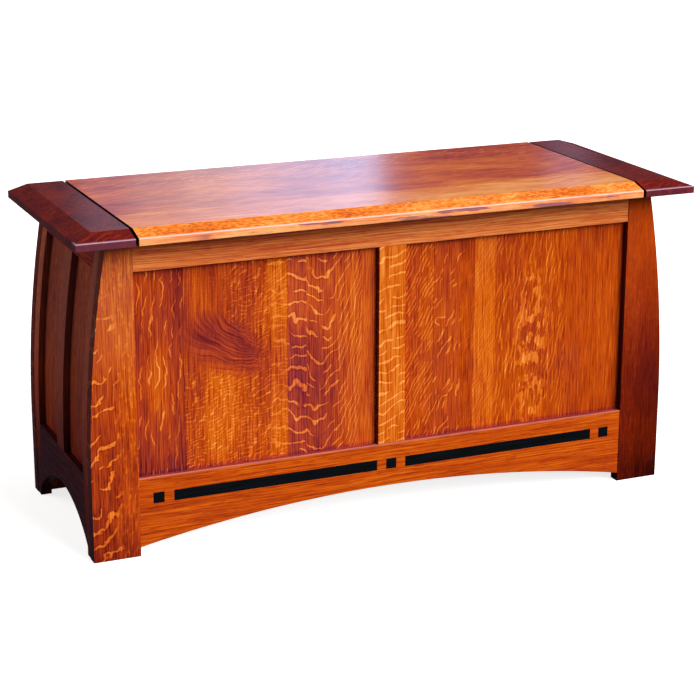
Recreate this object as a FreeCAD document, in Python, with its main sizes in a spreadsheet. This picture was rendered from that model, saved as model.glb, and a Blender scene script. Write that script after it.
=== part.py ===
"""Blanket chest with a hinged lid between two fixed end caps, built as separate boards and fittings.

Frame: +X to the chest's right, +Y to its back, +Z up. The origin is on the floor, at the middle of
the whole object's box. Sizes are in millimetres. Boards of the case are drawn in the case's own
frame, whose Y starts at the middle of the case's depth, and their Placement puts them in the row.
"""

import FreeCAD, Part
import math
import os

import Sketcher

Vector = FreeCAD.Vector

# Every size that can be set by itself: name in the sheet, value, what it is.
SIZES = [
    ("overall_length", 1220, "top, end to end over both caps"),
    ("overall_depth", 467, "top, front edge to back edge"),
    ("case_height", 588, "floor to the underside of the caps"),
    ("top_thickness", 24, "lid and cap boards"),
    ("edge_height", 13.2, "upright part of the lid's and caps' edges, below the bevel"),
    ("end_bevel", 38, "width of the bevel on each cap's outer end"),
    ("front_bevel", 38, "width of the bevel along the front"),
    ("cap_lap", 17.6, "caps' inner edges past the end frames' inner faces"),
    ("lid_end_gap", 5, "between the lid's end and a cap"),
    ("lid_seat_gap", 0.5, "under the closed lid"),
    ("front_overhang", 49, "top's front edge past the legs' faces"),
    ("edge_round", 1.2, "easing of the top's edges"),
    ("arris_round", 0.9, "easing of the case's edges"),
    ("arris_bevel", 0.6, "bevel of the bottom rails' long edges"),
    ("end_overhang", 26, "caps' outer ends past the feet"),
    ("leg_width", 88, "leg board at the floor"),
    ("leg_thickness", 24, "leg board"),
    ("leg_lean", 41, "how far the outer edge comes in at the top"),
    ("leg_straight", 160, "height of the upright part of the outer edge"),
    ("frame_thickness", 21, "rails and stiles"),
    ("frame_setback", 1, "rails and stiles behind the legs' faces and edges"),
    ("panel_recess", 11.5, "panels behind the rails' faces"),
    ("panel_thickness", 6, "panels, and the tongues that share their grooves"),
    ("groove_depth", 9, "grooves for panels and tongues"),
    ("groove_play", 0.15, "each side of a tongue or panel in its groove"),
    ("groove_end_play", 1, "past the end of a tongue or panel in its groove"),
    ("groove_start", 24, "where the legs' grooves stop above the floor"),
    ("edge_tongue", 5, "end frame's tongue into the legs' inner faces"),
    ("top_rail_height", 57, "seen height of the top rails"),
    ("bottom_rail_top", 149, "top of the front and back bottom rails"),
    ("arch_foot", 17, "arches' springing, above the floor"),
    ("arch_crown", 65, "crown of the front and back arches"),
    ("centre_stile_width", 54, "front and back centre stiles"),
    ("end_stile_width", 33, "outer stiles of the end frames"),
    ("end_centre_width", 49, "centre stiles of the end frames"),
    ("end_rail_top", 152, "top of the end frames' bottom rails"),
    ("end_arch_crown", 83, "crown of the end arches"),
    ("arch_into_stile", 12, "end arches' springing past the rails' ends, cut into the stiles"),
    ("inlay_thickness", 3, "inlay strips"),
    ("inlay_height", 20.5, "inlay strips and squares, upright"),
    ("inlay_square", 21, "inlay squares, along the rail"),
    ("inlay_level", 108.3, "inlay's middle line above the floor"),
    ("inlay_gap", 18.5, "between a square and a strip"),
    ("inlay_margin", 26, "outer squares from the legs"),
    ("inlay_play", 0.05, "round each inlay in its recess"),
    ("floor_level", 108, "underside of the chest's floor board"),
    ("floor_thickness", 12, "floor board"),
    ("floor_play", 1, "round the floor board and the cleats"),
    ("cleat_size", 20, "cleats under the floor board, square"),
    ("ledger_thickness", 20, "ledgers under the caps"),
    ("ledger_reach", 29, "ledgers inwards past the caps' inner edges"),
    ("batten_width", 60, "lid battens"),
    ("batten_thickness", 20, "lid battens"),
    ("batten_inset", 198, "battens' middle lines from the lid's ends"),
    ("batten_front", 88, "lid battens from the lid's front edge"),
    ("batten_back", 40, "lid battens from the lid's back edge"),
    ("batten_chamfer", 8, "battens' lower ends"),
    ("hinge_inset", 138, "outer hinges' middles from the lid's ends"),
    ("hinge_length", 64, "each hinge"),
    ("leaf_width", 22.7, "each leaf, from the pin's axis to its far edge"),
    ("leaf_thickness", 2, "each leaf"),
    ("leaf_lap", 1, "how far a leaf's plate runs into its knuckles"),
    ("leaf_play", 0.1, "round a leaf in its recess"),
    ("barrel_radius", 4, "hinge knuckles"),
    ("barrel_gap", 0.4, "between the knuckles and the wood"),
    ("knuckle_gap", 0.3, "between neighbouring knuckles"),
    ("pin_radius", 1.6, "hinge pin"),
    ("pin_play", 0.05, "round the pin in its knuckles"),
    ("pin_button", 1.5, "thickness of the button on each end of a pin"),
    ("pin_lip", 1, "how far the button stands out round the pin"),
    ("hinge_screw_spread", 22, "outer hinge screws from the hinge's middle"),
    ("hinge_screw_line", 14, "hinge screws from the pin's axis"),
    ("hinge_screw_radius", 1.75, "hinge screw's shank"),
    ("hinge_screw_head", 3.2, "hinge screw's head radius"),
    ("hinge_screw_length", 16, "hinge screw"),
    ("screw_radius", 2.1, "wood screw's shank"),
    ("screw_head", 4, "wood screw's head radius"),
    ("screw_length", 32, "wood screw"),
    ("screw_play", 0.03, "round every screw in its hole"),
    ("screw_tip", 4, "length of every screw's point"),
    ("screw_margin", 45, "a row's first and last wood screws from the ends of what they hold"),
    ("cut_past", 1, "how far a cut runs past the face that it opens"),
]

# Sizes worked out from the sheet, in order, for the pieces that share them.
WORKED = [
    ("half_length", "Sizes.overall_length / 2"),
    ("front_edge", "-(Sizes.overall_depth + Sizes.barrel_gap + 2 * Sizes.barrel_radius) / 2"),
    ("back_edge", "Worked.front_edge + Sizes.overall_depth"),
    ("case_front", "Worked.front_edge + Sizes.front_overhang"),
    ("case_middle", "(Worked.case_front + Worked.back_edge) / 2"),
    ("half_case", "(Worked.back_edge - Worked.case_front) / 2"),
    ("half_foot", "Worked.half_length - Sizes.end_overhang"),
    ("leg_inner", "Worked.half_foot - Sizes.leg_width"),
    ("curve_height", "Sizes.case_height - Sizes.leg_straight"),
    ("curve_radius", "(Worked.curve_height ^ 2 + Sizes.leg_lean ^ 2) / (2 * Sizes.leg_lean)"),
    ("curve_centre", "Worked.half_foot - Worked.curve_radius"),
    ("frame_back", "Sizes.frame_setback + Sizes.frame_thickness"),
    ("panel_near", "Sizes.frame_setback + Sizes.panel_recess"),
    ("panel_far", "Worked.panel_near + Sizes.panel_thickness"),
    ("groove_near", "Worked.panel_near - Sizes.groove_play"),
    ("groove_far", "Worked.panel_far + Sizes.groove_play"),
    ("tongue_reach", "Sizes.groove_depth - Sizes.groove_end_play"),
    ("edge_near", "Sizes.frame_setback + (Sizes.frame_thickness - Sizes.panel_thickness) / 2"),
    ("edge_far", "Worked.edge_near + Sizes.panel_thickness"),
    ("tongue_low", "Sizes.groove_start + Sizes.groove_end_play"),
    ("top_rail_low", "Sizes.case_height - Sizes.top_rail_height"),
    ("half_stile", "Sizes.centre_stile_width / 2"),
    ("leg_back", "Worked.half_case - Sizes.leg_thickness"),
    ("inside_half", "Worked.half_case - max(Sizes.leg_thickness; Worked.frame_back)"),
    ("end_inside", "Worked.half_foot - Worked.frame_back"),
    ("end_inside_top", "Worked.end_inside - Worked.curve_radius + Worked.frame_back"
        " + sqrt((Worked.curve_radius - Worked.frame_back) ^ 2 - Worked.curve_height ^ 2)"),
    ("end_half", "Worked.leg_back - Sizes.end_stile_width"),
    ("end_half_stile", "Sizes.end_centre_width / 2"),
    ("end_arch_half", "Worked.end_half + Sizes.arch_into_stile"),
    ("end_arch_rise", "Sizes.end_arch_crown - Sizes.arch_foot"),
    ("end_arch_radius",
        "(Worked.end_arch_half ^ 2 + Worked.end_arch_rise ^ 2) / (2 * Worked.end_arch_rise)"),
    ("end_rail_low", "Sizes.end_arch_crown - Worked.end_arch_radius"
        " + sqrt(Worked.end_arch_radius ^ 2 - Worked.end_half ^ 2)"),
    ("end_groove_start", "max(Sizes.groove_start; Worked.end_rail_low + Sizes.groove_end_play)"),
    ("cap_inner", "Worked.end_inside_top - Sizes.cap_lap"),
    ("lid_half", "Worked.cap_inner - Sizes.lid_end_gap"),
    ("lid_level", "Sizes.case_height + Sizes.lid_seat_gap"),
    ("square_outer", "Worked.leg_inner - Sizes.inlay_margin"),
    ("square_inner", "Worked.square_outer - Sizes.inlay_square"),
    ("bar_outer", "Worked.square_inner - Sizes.inlay_gap"),
    ("bar_inner", "Sizes.inlay_square / 2 + Sizes.inlay_gap"),
    ("inlay_low", "Sizes.inlay_level - Sizes.inlay_height / 2"),
    ("inlay_high", "Sizes.inlay_level + Sizes.inlay_height / 2"),
    ("axis_y", "Worked.back_edge + Sizes.barrel_gap + Sizes.barrel_radius"),
    ("axis_z", "Sizes.case_height + Sizes.lid_seat_gap / 2"),
    ("hinge_place", "Worked.lid_half - Sizes.hinge_inset"),
    ("batten_place", "Worked.lid_half - Sizes.batten_inset"),
    ("half_hinge", "Sizes.hinge_length / 2"),
    ("half_knuckle", "Sizes.hinge_length / 6"),
    ("clear_radius", "Sizes.barrel_radius + Sizes.barrel_gap"),
    ("hole_radius", "Sizes.pin_radius + Sizes.pin_play"),
    ("ledger_inner", "Worked.cap_inner - Sizes.ledger_reach"),
    ("cleat_low", "Sizes.floor_level - Sizes.cleat_size"),
    ("cleat_line", "Sizes.floor_level - Sizes.cleat_size / 2"),
]

FRONT, BACK = 0, 180  # turn of a frame about the case's upright centre line
UP, DOWN = Vector(0, 0, 1), Vector(0, 0, -1)
CLOSE = 0.001  # edges this near a plane lie in it
SCREW_BLUNT = 0.25  # radius of a screw's blunt point, as a share of its shank's
LONG_CLEAT_SCREWS = 5  # along each long cleat
END_CLEAT_SCREWS = 3  # along each end cleat
BOARD_SCREWS = 4  # through each ledger and each batten

doc = FreeCAD.newDocument("BlanketChest")
sheet = doc.addObject("Spreadsheet::Sheet", "Sizes")
worked = doc.addObject("App::VarSet", "Worked")
pieces = []


# ---------------------------------------------------------------- sizes and small helpers

def fill_sheet():
    """Writes the driving sizes to the sheet and the worked-out sizes to the variable set."""
    for row, (name, value, meaning) in enumerate(SIZES, start=1):
        sheet.set(f"A{row}", meaning)
        sheet.set(f"B{row}", str(value))
        sheet.setAlias(f"B{row}", name)
    doc.recompute()
    for name, formula in WORKED:
        worked.addProperty("App::PropertyFloat", name, "Worked out")
        worked.setExpression(name, formula)
        doc.recompute()


def number(formula):
    """The present value of a formula."""
    return float(worked.evalExpression(formula))


def minus(formula):
    return f"-1 * ({formula})"


def span(low, high):
    return f"({high}) - ({low})"


def mirrored(pair, side):
    """A pair (low, high) as it is, or on the other side of zero where side is negative."""
    low, high = pair
    return (low, high) if side > 0 else (minus(high), minus(low))


def case_body(name, turn=FRONT):
    """An empty body in the case's frame, turned about the case's upright centre line."""
    body = doc.addObject("PartDesign::Body", name)
    body.Label = name
    body.Placement = FreeCAD.Placement(Vector(), FreeCAD.Rotation(Vector(0, 0, 1), turn))
    body.setExpression("Placement.Base.y", "Worked.case_middle")
    return body


def placed_body(name, x, y, z):
    """An empty body whose own origin is at x, y, z in the row's frame."""
    body = doc.addObject("PartDesign::Body", name)
    body.Label = name
    for axis, formula in zip("xyz", (x, y, z)):
        body.setExpression(f"Placement.Base.{axis}", formula)
    return body


def keep(piece, name=None):
    """Lists a finished piece, under its node's name."""
    if name:
        piece.Label = name
    pieces.append(piece)
    return piece


def block(body, kind, x, y, z):
    """Adds or cuts a box between the pairs (low, high) x, y and z."""
    feature = body.newObject(f"PartDesign::{kind}Box", f"{body.Name}_block")
    for size, axis, (low, high) in zip(("Length", "Width", "Height"), "xyz", (x, y, z)):
        feature.setExpression(size, span(low, high))
        feature.setExpression(f"Placement.Base.{axis}", low)
    return feature


def rod(body, kind, radius, x, y, z):
    """Adds or cuts a cylinder along X, between the pair x, on the axis y, z."""
    feature = body.newObject(f"PartDesign::{kind}Cylinder", f"{body.Name}_rod")
    feature.Placement = FreeCAD.Placement(Vector(), FreeCAD.Rotation(Vector(0, 1, 0), 90))
    feature.setExpression("Radius", radius)
    feature.setExpression("Height", span(*x))
    for axis, formula in zip("xyz", (x[0], y, z)):
        feature.setExpression(f"Placement.Base.{axis}", formula)
    return feature


def outline(body, plane, points, arcs=None, level="0"):
    """A closed sketch through the points, whose edges in arcs are round: {edge: (radius, side)}.

    Side is +1 where the arc's centre lies to the left of the way from its first point to its
    second. Level moves the sketch along its plane's normal. Every point is bound to formulas.
    """
    arcs = arcs or {}
    sketch = body.newObject("Sketcher::SketchObject", f"{body.Name}_outline")
    support = next(f for f in body.Origin.OriginFeatures if f.Role == plane)
    sketch.AttachmentSupport = [(support, "")]
    sketch.MapMode = "FlatFace"
    sketch.setExpression("AttachmentOffset.Base.z", level)
    corners = [Vector(number(across), number(up), 0) for across, up in points]
    ends = []
    for edge, start in enumerate(corners):
        stop = corners[(edge + 1) % len(corners)]
        if edge in arcs:
            radius, side = arcs[edge]
            sketch.addGeometry(round_edge(start, stop, number(radius), side), False)
            ends.append((1, 2) if side > 0 else (2, 1))
        else:
            sketch.addGeometry(Part.LineSegment(start, stop), False)
            ends.append((1, 2))
    for edge, (_, last) in enumerate(ends):
        following = (edge + 1) % len(ends)
        sketch.addConstraint(Sketcher.Constraint("Coincident", edge, last, following, ends[following][0]))
    for edge, place in enumerate(points):
        for kind, formula in zip(("DistanceX", "DistanceY"), place):
            rule = Sketcher.Constraint(kind, -1, 1, edge, ends[edge][0], number(formula))
            sketch.setExpression(f"Constraints[{sketch.addConstraint(rule)}]", formula)
    for edge, (radius, _) in arcs.items():
        rule = Sketcher.Constraint("Radius", edge, number(radius))
        sketch.setExpression(f"Constraints[{sketch.addConstraint(rule)}]", radius)
    return sketch


def round_edge(start, stop, radius, side):
    """The arc of a radius from start to stop, anticlockwise where side is positive."""
    way = stop - start
    across = Vector(-way.y, way.x, 0).normalize() * side
    centre = (start + stop) * 0.5 + across * math.sqrt(radius ** 2 - (way.Length / 2) ** 2)
    first, last = (start, stop) if side > 0 else (stop, start)
    begin = math.atan2(first.y - centre.y, first.x - centre.x)
    end = math.atan2(last.y - centre.y, last.x - centre.x)
    if end < begin:
        end += 2 * math.pi
    return Part.ArcOfCircle(Part.Circle(centre, Vector(0, 0, 1), radius), begin, end)


def extrude(body, kind, sketch, length, reverse=False):
    """Pads a sketch, or with kind Pocket cuts it out, to a length along its plane's normal or back."""
    feature = body.newObject(f"PartDesign::{kind}", f"{body.Name}_{kind.lower()}")
    feature.Profile = sketch
    feature.setExpression("Length", length)
    feature.Reversed = reverse
    sketch.Visibility = False
    return feature


def dress(body, kind, size, wanted):
    """Rounds, or with kind Chamfer bevels, those edges of a body for which wanted(edge) holds."""
    doc.recompute()
    tip = body.Tip
    names = [f"Edge{i}" for i, edge in enumerate(tip.Shape.Edges, start=1) if wanted(edge)]
    feature = body.newObject(f"PartDesign::{kind}", f"{body.Name}_{kind.lower()}")
    feature.Base = (tip, names)
    feature.setExpression("Radius" if kind == "Fillet" else "Size", size)
    doc.recompute()
    if feature.Shape.Volume >= tip.Shape.Volume:
        raise SystemExit(f"dressing {body.Label} took nothing away")
    return feature


def lies_at(edge, axis, value):
    """Whether an edge lies in the plane where an axis has a value."""
    box = edge.BoundBox
    low, high = getattr(box, f"{axis}Min"), getattr(box, f"{axis}Max")
    return abs(low - value) < CLOSE and abs(high - value) < CLOSE


# ---------------------------------------------------------------- the legs' curve

def curve_x(offset, height):
    """How far out the leg's edge curve, moved in by offset, is at a height above the upright part."""
    run = f"({height}) - Sizes.leg_straight"
    return f"Worked.curve_centre + sqrt((Worked.curve_radius - ({offset})) ^ 2 - ({run}) ^ 2)"


def edge_points(offset, low, high):
    """Points up the leg's edge curve moved in by offset, and which of their edges is round."""
    straight_x = f"Worked.half_foot - ({offset})"
    if number(low) >= number("Sizes.leg_straight"):
        return [(curve_x(offset, low), low), (curve_x(offset, high), high)], 0
    if number(high) <= number("Sizes.leg_straight"):
        return [(straight_x, low), (straight_x, high)], None
    bend = (straight_x, "Sizes.leg_straight")
    return [(straight_x, low), bend, (curve_x(offset, high), high)], 1


def curved_slab(body, offsets, y, z, cut=False, hand=1):
    """Pads or cuts the slab between two offsets from the leg's curve, along Y between a pair y."""
    outer, outer_round = edge_points(offsets[0], *z)
    inner, inner_round = edge_points(offsets[1], *z)
    points = outer + inner[::-1]
    if hand < 0:
        points = [(minus(across), up) for across, up in points]
    arcs = {}
    if outer_round is not None:
        arcs[outer_round] = (f"Worked.curve_radius - ({offsets[0]})", hand)
    if inner_round is not None:
        edge = len(points) - 2 - inner_round
        arcs[edge] = (f"Worked.curve_radius - ({offsets[1]})", -hand)
    sketch = outline(body, "XZ_Plane", points, arcs, level=minus(y[0]))
    if cut:
        return extrude(body, "Pocket", sketch, span(*y))
    return extrude(body, "Pad", sketch, span(*y), reverse=True)


FRAME_OFFSETS = ("Sizes.frame_setback", "Worked.frame_back")
PANEL_OFFSETS = ("Worked.panel_near", "Worked.panel_far")
GROOVE_OFFSETS = ("Worked.groove_near", "Worked.groove_far")
OUTER_FACE = "Worked.half_foot - Sizes.frame_setback"


# ---------------------------------------------------------------- legs and flat frames

def face(offset):
    """Y of a plane behind the legs' faces, in the case's frame."""
    return f"-Worked.half_case + ({offset})"


FRAME_SLAB = tuple(face(offset) for offset in FRAME_OFFSETS)
PANEL_SLAB = tuple(face(offset) for offset in PANEL_OFFSETS)
GROOVE_SLAB = tuple(face(offset) for offset in GROOVE_OFFSETS)
ACROSS = (minus("Worked.leg_inner"), "Worked.leg_inner")
PAST_TOP = "Sizes.case_height + Sizes.cut_past"


def ease_face(body, offset):
    """Eases the edges of a flat board's outer face. The edge that meets the top stays sharp."""
    level = number(face(offset))
    top = number("Sizes.case_height") - CLOSE
    dress(body, "Fillet", "Sizes.arris_round", lambda e: lies_at(e, "Y", level) and e.BoundBox.ZMin < top)


def bevel_long_edges(body, axis, level, along):
    """Bevels the edges of a bottom rail's outer face that run along the rail, which are two."""

    def wanted(edge):
        return lies_at(edge, axis, level) and getattr(edge.BoundBox, f"{along}Length") > CLOSE

    dress(body, "Chamfer", "Sizes.arris_bevel", wanted)


def leg(name, hand, turn):
    """A leg board: upright foot, curved outer edge, grooves for the rails and for the end frame."""
    body = case_body(name, turn)
    points = [
        ("Worked.leg_inner", "0"),
        ("Worked.half_foot", "0"),
        ("Worked.half_foot", "Sizes.leg_straight"),
        (curve_x("0", "Sizes.case_height"), "Sizes.case_height"),
        ("Worked.leg_inner", "Sizes.case_height"),
    ]
    if hand < 0:
        points = [(minus(across), up) for across, up in points]
    sketch = outline(body, "XZ_Plane", points, {2: ("Worked.curve_radius", hand)}, "Worked.half_case")
    extrude(body, "Pad", sketch, "Sizes.leg_thickness", reverse=True)
    ease_face(body, "0")
    rail_groove = ("Worked.leg_inner - Sizes.cut_past", "Worked.leg_inner + Sizes.groove_depth")
    block(body, "Subtractive", mirrored(rail_groove, hand), GROOVE_SLAB, ("Sizes.groove_start", PAST_TOP))
    back_face = face("Sizes.leg_thickness")
    depth = "Sizes.edge_tongue + Sizes.groove_end_play"
    along = (f"{back_face} - ({depth})", f"{back_face} + Sizes.cut_past")
    offsets = ("Worked.edge_near - Sizes.groove_play", "Worked.edge_far + Sizes.groove_play")
    curved_slab(body, offsets, along, ("Sizes.groove_start", PAST_TOP), cut=True, hand=hand)
    return keep(body)


def top_rail(name, turn):
    """A straight rail under the top, grooved below for the panels and the centre stile."""
    body = case_body(name, turn)
    groove_top = "Worked.top_rail_low + Sizes.groove_depth"
    block(body, "Additive", ACROSS, FRAME_SLAB, ("Worked.top_rail_low", "Sizes.case_height"))
    ease_face(body, "Sizes.frame_setback")
    reach = "Worked.leg_inner + Worked.tongue_reach"
    block(body, "Additive", (minus(reach), reach), PANEL_SLAB, (groove_top, "Sizes.case_height"))
    block(body, "Subtractive", ACROSS, GROOVE_SLAB, ("Worked.top_rail_low - Sizes.cut_past", groove_top))
    return body


def bottom_rail(name, turn, inlaid=False):
    """A bottom rail with an arch cut under it, grooved above, with recesses where it is inlaid."""
    body = case_body(name, turn)
    rise = "(Sizes.arch_crown - Sizes.arch_foot)"
    radius = f"(Worked.leg_inner ^ 2 + {rise} ^ 2) / (2 * {rise})"
    left, right = ACROSS
    points = [
        (left, "Sizes.arch_foot"),
        (right, "Sizes.arch_foot"),
        (right, "Sizes.bottom_rail_top"),
        (left, "Sizes.bottom_rail_top"),
    ]
    sketch = outline(body, "XZ_Plane", points, {0: (radius, -1)}, minus(FRAME_SLAB[0]))
    extrude(body, "Pad", sketch, "Sizes.frame_thickness", reverse=True)
    bevel_long_edges(body, "Y", number(FRAME_SLAB[0]), "X")
    groove_low = "Sizes.bottom_rail_top - Sizes.groove_depth"
    tongue = ("Worked.leg_inner - Sizes.cut_past", "Worked.leg_inner + Worked.tongue_reach")
    for side in (-1, 1):
        block(body, "Additive", mirrored(tongue, side), PANEL_SLAB, ("Worked.tongue_low", groove_low))
    block(body, "Subtractive", ACROSS, GROOVE_SLAB, (groove_low, "Sizes.bottom_rail_top + Sizes.cut_past"))
    if inlaid:
        recess_y = (f"{FRAME_SLAB[0]} - Sizes.cut_past", f"{FRAME_SLAB[0]} + Sizes.inlay_thickness")
        recess_z = ("Worked.inlay_low - Sizes.inlay_play", "Worked.inlay_high + Sizes.inlay_play")
        for low, high in INLAYS.values():
            recess_x = (f"({low}) - Sizes.inlay_play", f"({high}) + Sizes.inlay_play")
            block(body, "Subtractive", recess_x, recess_y, recess_z)
    return body


SQUARE = ("Worked.square_inner", "Worked.square_outer")
BAR = ("Worked.bar_inner", "Worked.bar_outer")
INLAYS = {
    "inlay_left_square": mirrored(SQUARE, -1),
    "inlay_left_bar": mirrored(BAR, -1),
    "inlay_centre_square": ("-Sizes.inlay_square / 2", "Sizes.inlay_square / 2"),
    "inlay_right_bar": BAR,
    "inlay_right_square": SQUARE,
}


def inlay(name, x):
    """A strip or square let into the front bottom rail, flush with its face."""
    body = case_body(name)
    depth = (FRAME_SLAB[0], f"{FRAME_SLAB[0]} + Sizes.inlay_thickness")
    block(body, "Additive", x, depth, ("Worked.inlay_low", "Worked.inlay_high"))
    return keep(body)


def centre_stile(name, turn):
    """The stile between a frame's two panels, with tongues up and down and a groove each side."""
    body = case_body(name, turn)
    across = ("-Worked.half_stile", "Worked.half_stile")
    block(body, "Additive", across, FRAME_SLAB, ("Sizes.bottom_rail_top", "Worked.top_rail_low"))
    ease_face(body, "Sizes.frame_setback")
    low = "Sizes.bottom_rail_top - Worked.tongue_reach"
    high = "Worked.top_rail_low + Worked.tongue_reach"
    block(body, "Additive", across, PANEL_SLAB, (low, high))
    groove = ("Worked.half_stile - Sizes.groove_depth", "Worked.half_stile + Sizes.cut_past")
    for side in (-1, 1):
        block(body, "Subtractive", mirrored(groove, side), GROOVE_SLAB, (low, high))
    return keep(body)


def flat_panel(name, hand, turn):
    """A flat panel held in the grooves on its four sides."""
    body = case_body(name, turn)
    across = ("Worked.half_stile - Worked.tongue_reach", "Worked.leg_inner + Worked.tongue_reach")
    low = "Sizes.bottom_rail_top - Worked.tongue_reach"
    high = "Worked.top_rail_low + Worked.tongue_reach"
    block(body, "Additive", mirrored(across, hand), PANEL_SLAB, (low, high))
    return keep(body)


# ---------------------------------------------------------------- end frames, drawn as the right one

END_ACROSS = (minus("Worked.end_half"), "Worked.end_half")


def ease_outer(body):
    """Eases the long edges of an end frame board's outer face, which follows the legs' curve."""
    outer = number(OUTER_FACE)

    def wanted(edge):
        box = edge.BoundBox
        return abs(box.XMax - outer) < CLOSE and box.ZLength > CLOSE

    dress(body, "Fillet", "Sizes.arris_round", wanted)


def cut_end_arch(body):
    """Cuts the arch under an end frame out of its bottom rail or an outer stile's foot."""
    back, front = minus("Worked.end_arch_half"), "Worked.end_arch_half"
    below = "-Sizes.cut_past"
    points = [(back, "Sizes.arch_foot"), (front, "Sizes.arch_foot"), (front, below), (back, below)]
    past_face = "Worked.half_foot + Sizes.cut_past"
    sketch = outline(body, "YZ_Plane", points, {0: ("Worked.end_arch_radius", -1)}, past_face)
    extrude(body, "Pocket", sketch, "Worked.frame_back + 2 * Sizes.cut_past")


def end_stile(name, side, turn):
    """An outer stile: down to the floor beside its leg, tongued into the leg, grooved inwards."""
    body = case_body(name, turn)
    across = mirrored(("Worked.end_half", "Worked.leg_back"), side)
    curved_slab(body, FRAME_OFFSETS, across, ("0", "Sizes.case_height"))
    ease_outer(body)
    cut_end_arch(body)
    tongue = ("Worked.leg_back - Sizes.cut_past", "Worked.leg_back + Sizes.edge_tongue")
    offsets = ("Worked.edge_near", "Worked.edge_far")
    curved_slab(body, offsets, mirrored(tongue, side), ("Worked.tongue_low", "Sizes.case_height"))
    groove = ("Worked.end_half - Sizes.cut_past", "Worked.end_half + Sizes.groove_depth")
    start = "Worked.end_groove_start"
    curved_slab(body, GROOVE_OFFSETS, mirrored(groove, side), (start, PAST_TOP), cut=True)
    return keep(body)


def end_top_rail(name, turn):
    """An end frame's top rail, bowed as the legs are and grooved below."""
    body = case_body(name, turn)
    groove_top = "Worked.top_rail_low + Sizes.groove_depth"
    curved_slab(body, FRAME_OFFSETS, END_ACROSS, ("Worked.top_rail_low", "Sizes.case_height"))
    reach = "Worked.end_half + Worked.tongue_reach"
    curved_slab(body, PANEL_OFFSETS, (minus(reach), reach), (groove_top, "Sizes.case_height"))
    low = "Worked.top_rail_low - Sizes.cut_past"
    curved_slab(body, GROOVE_OFFSETS, END_ACROSS, (low, groove_top), cut=True)
    return keep(body)


def end_bottom_rail(name, turn):
    """An end frame's bottom rail, with an arch cut under it."""
    body = case_body(name, turn)
    curved_slab(body, FRAME_OFFSETS, END_ACROSS, ("Sizes.arch_foot", "Sizes.end_rail_top"))
    cut_end_arch(body)
    bevel_long_edges(body, "X", number(OUTER_FACE), "Y")
    groove_low = "Sizes.end_rail_top - Sizes.groove_depth"
    tongue = ("Worked.end_half - Sizes.cut_past", "Worked.end_half + Worked.tongue_reach")
    tongue_low = "Worked.end_groove_start + Sizes.groove_end_play"
    for side in (-1, 1):
        curved_slab(body, PANEL_OFFSETS, mirrored(tongue, side), (tongue_low, groove_low))
    past = "Sizes.end_rail_top + Sizes.cut_past"
    curved_slab(body, GROOVE_OFFSETS, END_ACROSS, (groove_low, past), cut=True)
    return body


def end_centre_stile(name, turn):
    """The bowed stile between an end frame's two panels."""
    body = case_body(name, turn)
    along = ("-Worked.end_half_stile", "Worked.end_half_stile")
    curved_slab(body, FRAME_OFFSETS, along, ("Sizes.end_rail_top", "Worked.top_rail_low"))
    ease_outer(body)
    low = "Sizes.end_rail_top - Worked.tongue_reach"
    high = "Worked.top_rail_low + Worked.tongue_reach"
    curved_slab(body, PANEL_OFFSETS, along, (low, high))
    groove = ("Worked.end_half_stile - Sizes.groove_depth", "Worked.end_half_stile + Sizes.cut_past")
    for side in (-1, 1):
        curved_slab(body, GROOVE_OFFSETS, mirrored(groove, side), (low, high), cut=True)
    return keep(body)


def end_panel(name, side, turn):
    """A bowed panel held in the grooves of an end frame."""
    body = case_body(name, turn)
    along = ("Worked.end_half_stile - Worked.tongue_reach", "Worked.end_half + Worked.tongue_reach")
    low = "Sizes.end_rail_top - Worked.tongue_reach"
    high = "Worked.top_rail_low + Worked.tongue_reach"
    curved_slab(body, PANEL_OFFSETS, mirrored(along, side), (low, high))
    return keep(body)


# ---------------------------------------------------------------- floor, cleats and ledgers

def floor_board():
    """The chest's floor, which lies loose on the cleats."""
    body = case_body("bottom_panel")
    reach = "Worked.end_inside - Sizes.floor_play"
    depth = "Worked.inside_half - Sizes.floor_play"
    level = ("Sizes.floor_level", "Sizes.floor_level + Sizes.floor_thickness")
    block(body, "Additive", (minus(reach), reach), (minus(depth), depth), level)
    return keep(body)


def long_cleat(name, turn):
    """A square cleat along a bottom rail's inner face."""
    body = case_body(name, turn)
    reach = "Worked.leg_inner - Sizes.floor_play"
    depth = (FRAME_SLAB[1], f"{FRAME_SLAB[1]} + Sizes.cleat_size")
    block(body, "Additive", (minus(reach), reach), depth, ("Worked.cleat_low", "Sizes.floor_level"))
    return body


def end_cleat(name, turn):
    """A square cleat along an end frame's inner face."""
    body = case_body(name, turn)
    reach = "Worked.inside_half - Sizes.floor_play"
    across = ("Worked.end_inside - Sizes.cleat_size", "Worked.end_inside")
    block(body, "Additive", across, (minus(reach), reach), ("Worked.cleat_low", "Sizes.floor_level"))
    return body


def ledger(name, turn):
    """The ledger behind an end frame's top rail, shaped to it, that the cap is screwed to."""
    body = case_body(name, turn)
    low = "Sizes.case_height - Sizes.ledger_thickness"
    outer, _ = edge_points("Worked.frame_back", low, "Sizes.case_height")
    points = outer + [("Worked.ledger_inner", "Sizes.case_height"), ("Worked.ledger_inner", low)]
    arcs = {0: ("Worked.curve_radius - Worked.frame_back", 1)}
    sketch = outline(body, "XZ_Plane", points, arcs, "Worked.inside_half")
    extrude(body, "Pad", sketch, "2 * Worked.inside_half", reverse=True)
    return body


# ---------------------------------------------------------------- top

def bevel_front(body, x):
    """Bevels a top board's front edge, over the pair x."""
    points = [
        ("0", "Sizes.edge_height"),
        ("Sizes.front_bevel", "Sizes.top_thickness"),
        ("-Sizes.cut_past", "Sizes.top_thickness + Sizes.cut_past"),
    ]
    low, high = x
    sketch = outline(body, "YZ_Plane", points, level=f"{high} + Sizes.cut_past")
    extrude(body, "Pocket", sketch, f"{span(low, high)} + 2 * Sizes.cut_past")


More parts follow.
